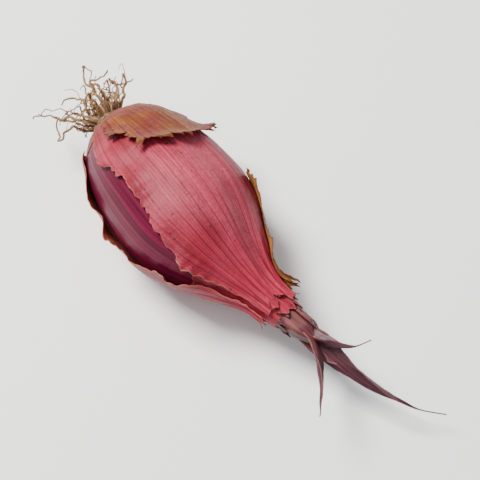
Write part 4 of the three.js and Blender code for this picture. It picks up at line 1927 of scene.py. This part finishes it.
@dataclass
class Studio:
    """A plain pale floor, soft light, and a camera at the photograph's viewing angle."""

    azimuth: float = 52.0
    elevation: float = 70.0
    lens: float = 90.0
    sensor: float = 36.0
    fill: float = 0.86
    floor_size: float = 6.0
    floor_colour: RGBA = (0.84, 0.835, 0.83, 1.0)
    floor_roughness: float = 0.85
    sky_colour: RGBA = (0.93, 0.95, 1.0, 1.0)
    sky_strength: float = 0.26
    first_distance: float = 0.4
    framing_rounds: int = 20
    clip_start: float = 0.01
    point_step: int = 7
    lights: tuple[SoftLight, ...] = (
        SoftLight("key", -72.0, 60.0, 0.45, 0.15, 5.6, (1.0, 0.985, 0.96)),
        SoftLight("fill", 100.0, 40.0, 0.5, 0.4, 0.4, (0.96, 0.98, 1.0)),
        SoftLight("top", 30.0, 80.0, 0.55, 0.3, 0.9),
    )

    def floor(self) -> Piece:
        """The plain pale floor.

        Returns:
            The floor, which is on the stage and no part of the set.
        """
        half = self.floor_size / 2
        corners = [(x * half, y * half, 0.0) for x, y in ((-1, -1), (1, -1), (1, 1), (-1, 1))]
        mesh = bpy.data.meshes.new("floor")
        mesh.from_pydata(corners, [], [(0, 1, 2, 3)])
        floor = linked("floor", mesh)
        material = bpy.data.materials.new("pale_floor")
        material.use_nodes = True
        shader = material.node_tree.nodes["Principled BSDF"]
        shader.inputs["Base Color"].default_value = self.floor_colour
        shader.inputs["Roughness"].default_value = self.floor_roughness
        mesh.materials.append(material)
        floor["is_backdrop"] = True
        return floor

    def camera(self, pieces: list[Piece]) -> Piece:
        """A camera that frames the pieces from the photograph's viewing angle.

        Args:
            pieces: What has to be in the frame.

        Returns:
            The camera.
        """
        points = np.concatenate([vertices_of(piece)[:: self.point_step] for piece in pieces])
        back = direction(self.azimuth, self.elevation)
        turn = back.to_track_quat("Z", "Y")
        right, up = turn @ Vector((1, 0, 0)), turn @ Vector((0, 1, 0))
        axes = np.array([right, up])
        half_frame = self.sensor / 2 / self.lens * self.fill
        target = points.mean(axis=0)
        distance = self.first_distance
        for _ in range(self.framing_rounds):
            offset = points - target
            seen = offset @ axes.T / (distance - offset @ np.array(back))[:, None]
            low, high = seen.min(axis=0), seen.max(axis=0)
            target = target + distance * ((low + high) / 2 @ axes)
            distance = distance * max(high - low) / 2 / half_frame
        lens = bpy.data.cameras.new("camera")
        lens.lens = self.lens
        lens.sensor_width = self.sensor
        lens.clip_start = self.clip_start
        camera = linked("camera", lens)
        place = Matrix.Translation(Vector(target) + back * distance)
        camera.matrix_world = place @ turn.to_matrix().to_4x4()
        bpy.context.scene.camera = camera
        return camera

    def world(self) -> None:
        """Even, pale light from all round."""
        world = bpy.data.worlds.new("studio")
        world.use_nodes = True
        background = world.node_tree.nodes["Background"]
        background.inputs["Color"].default_value = self.sky_colour
        background.inputs["Strength"].default_value = self.sky_strength
        bpy.context.scene.world = world

    def build(self, pieces: list[Piece], middle: Vector) -> None:
        """Builds the whole studio.

        Args:
            pieces: What the camera frames.
            middle: The point that the lights are aimed at.
        """
        self.floor()
        self.world()
        for light in self.lights:
            light.place(middle)
        self.camera(pieces)


def vertices_of(piece: Piece) -> Array:
    """The points of a piece's mesh, in metres.

    Args:
        piece: The object.

    Returns:
        One row for each point.
    """
    points = np.empty(len(piece.data.vertices) * 3, np.float32)
    piece.data.vertices.foreach_get("co", points)
    return points.reshape(-1, 3)


def report(pieces: list[Piece]) -> None:
    """Logs each piece's name, size and number of faces.

    Args:
        pieces: The finished pieces.
    """
    for piece in pieces:
        size = np.ptp(vertices_of(piece), axis=0) / MM
        faces = len(piece.data.polygons)
        LOG.info("%s: %.1f x %.1f x %.1f mm, %d faces", piece.name, *size, faces)


def main() -> None:
    """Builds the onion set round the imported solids, and the studio round it."""
    logging.basicConfig(level=logging.INFO, format="%(name)s: %(message)s")
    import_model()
    form = BulbForm()
    trees = ReliefTrees()
    groups = SurfaceGroups()
    tan = TanSkin(groups)
    root_end = TanRemnant(
        form,
        trees,
        name="root_end_tan_skin",
        node="root_end_remnant",
        start=3.0,
        end=(10.5, 3.2),
        left=(-1.75, -1.4),
        right=(0.35, 0.05),
        bulge=0.0,
        curl=1.1,
        phase=0.5,
        seed=71,
    )
    at_neck = TanRemnant(
        form,
        trees,
        name="neck_tan_skin",
        node="neck_remnant",
        start=22.0,
        end=(39.5, 0.0),
        left=(-2.05, -2.15),
        right=(-1.15, -1.2),
        bulge=0.25,
        curl=0.9,
        phase=1.9,
        seed=81,
    )
    pieces = [
        LivingBulb(form, trees).build(GlossyScale(groups)),
        *OuterSkin(form, trees).build(DustySkin(groups)),
        root_end.build(tan),
        at_neck.build(tan),
        *DryNeck(form, trees).build(DryLeaf(groups)),
        *RootTuft(form, trees).build(DriedRoot(groups), Cork(groups)),
    ]
    report(pieces)
    low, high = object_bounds()
    Studio().build(pieces, (Vector(low) + Vector(high)) / 2)


if __name__ == "__main__":
    main()
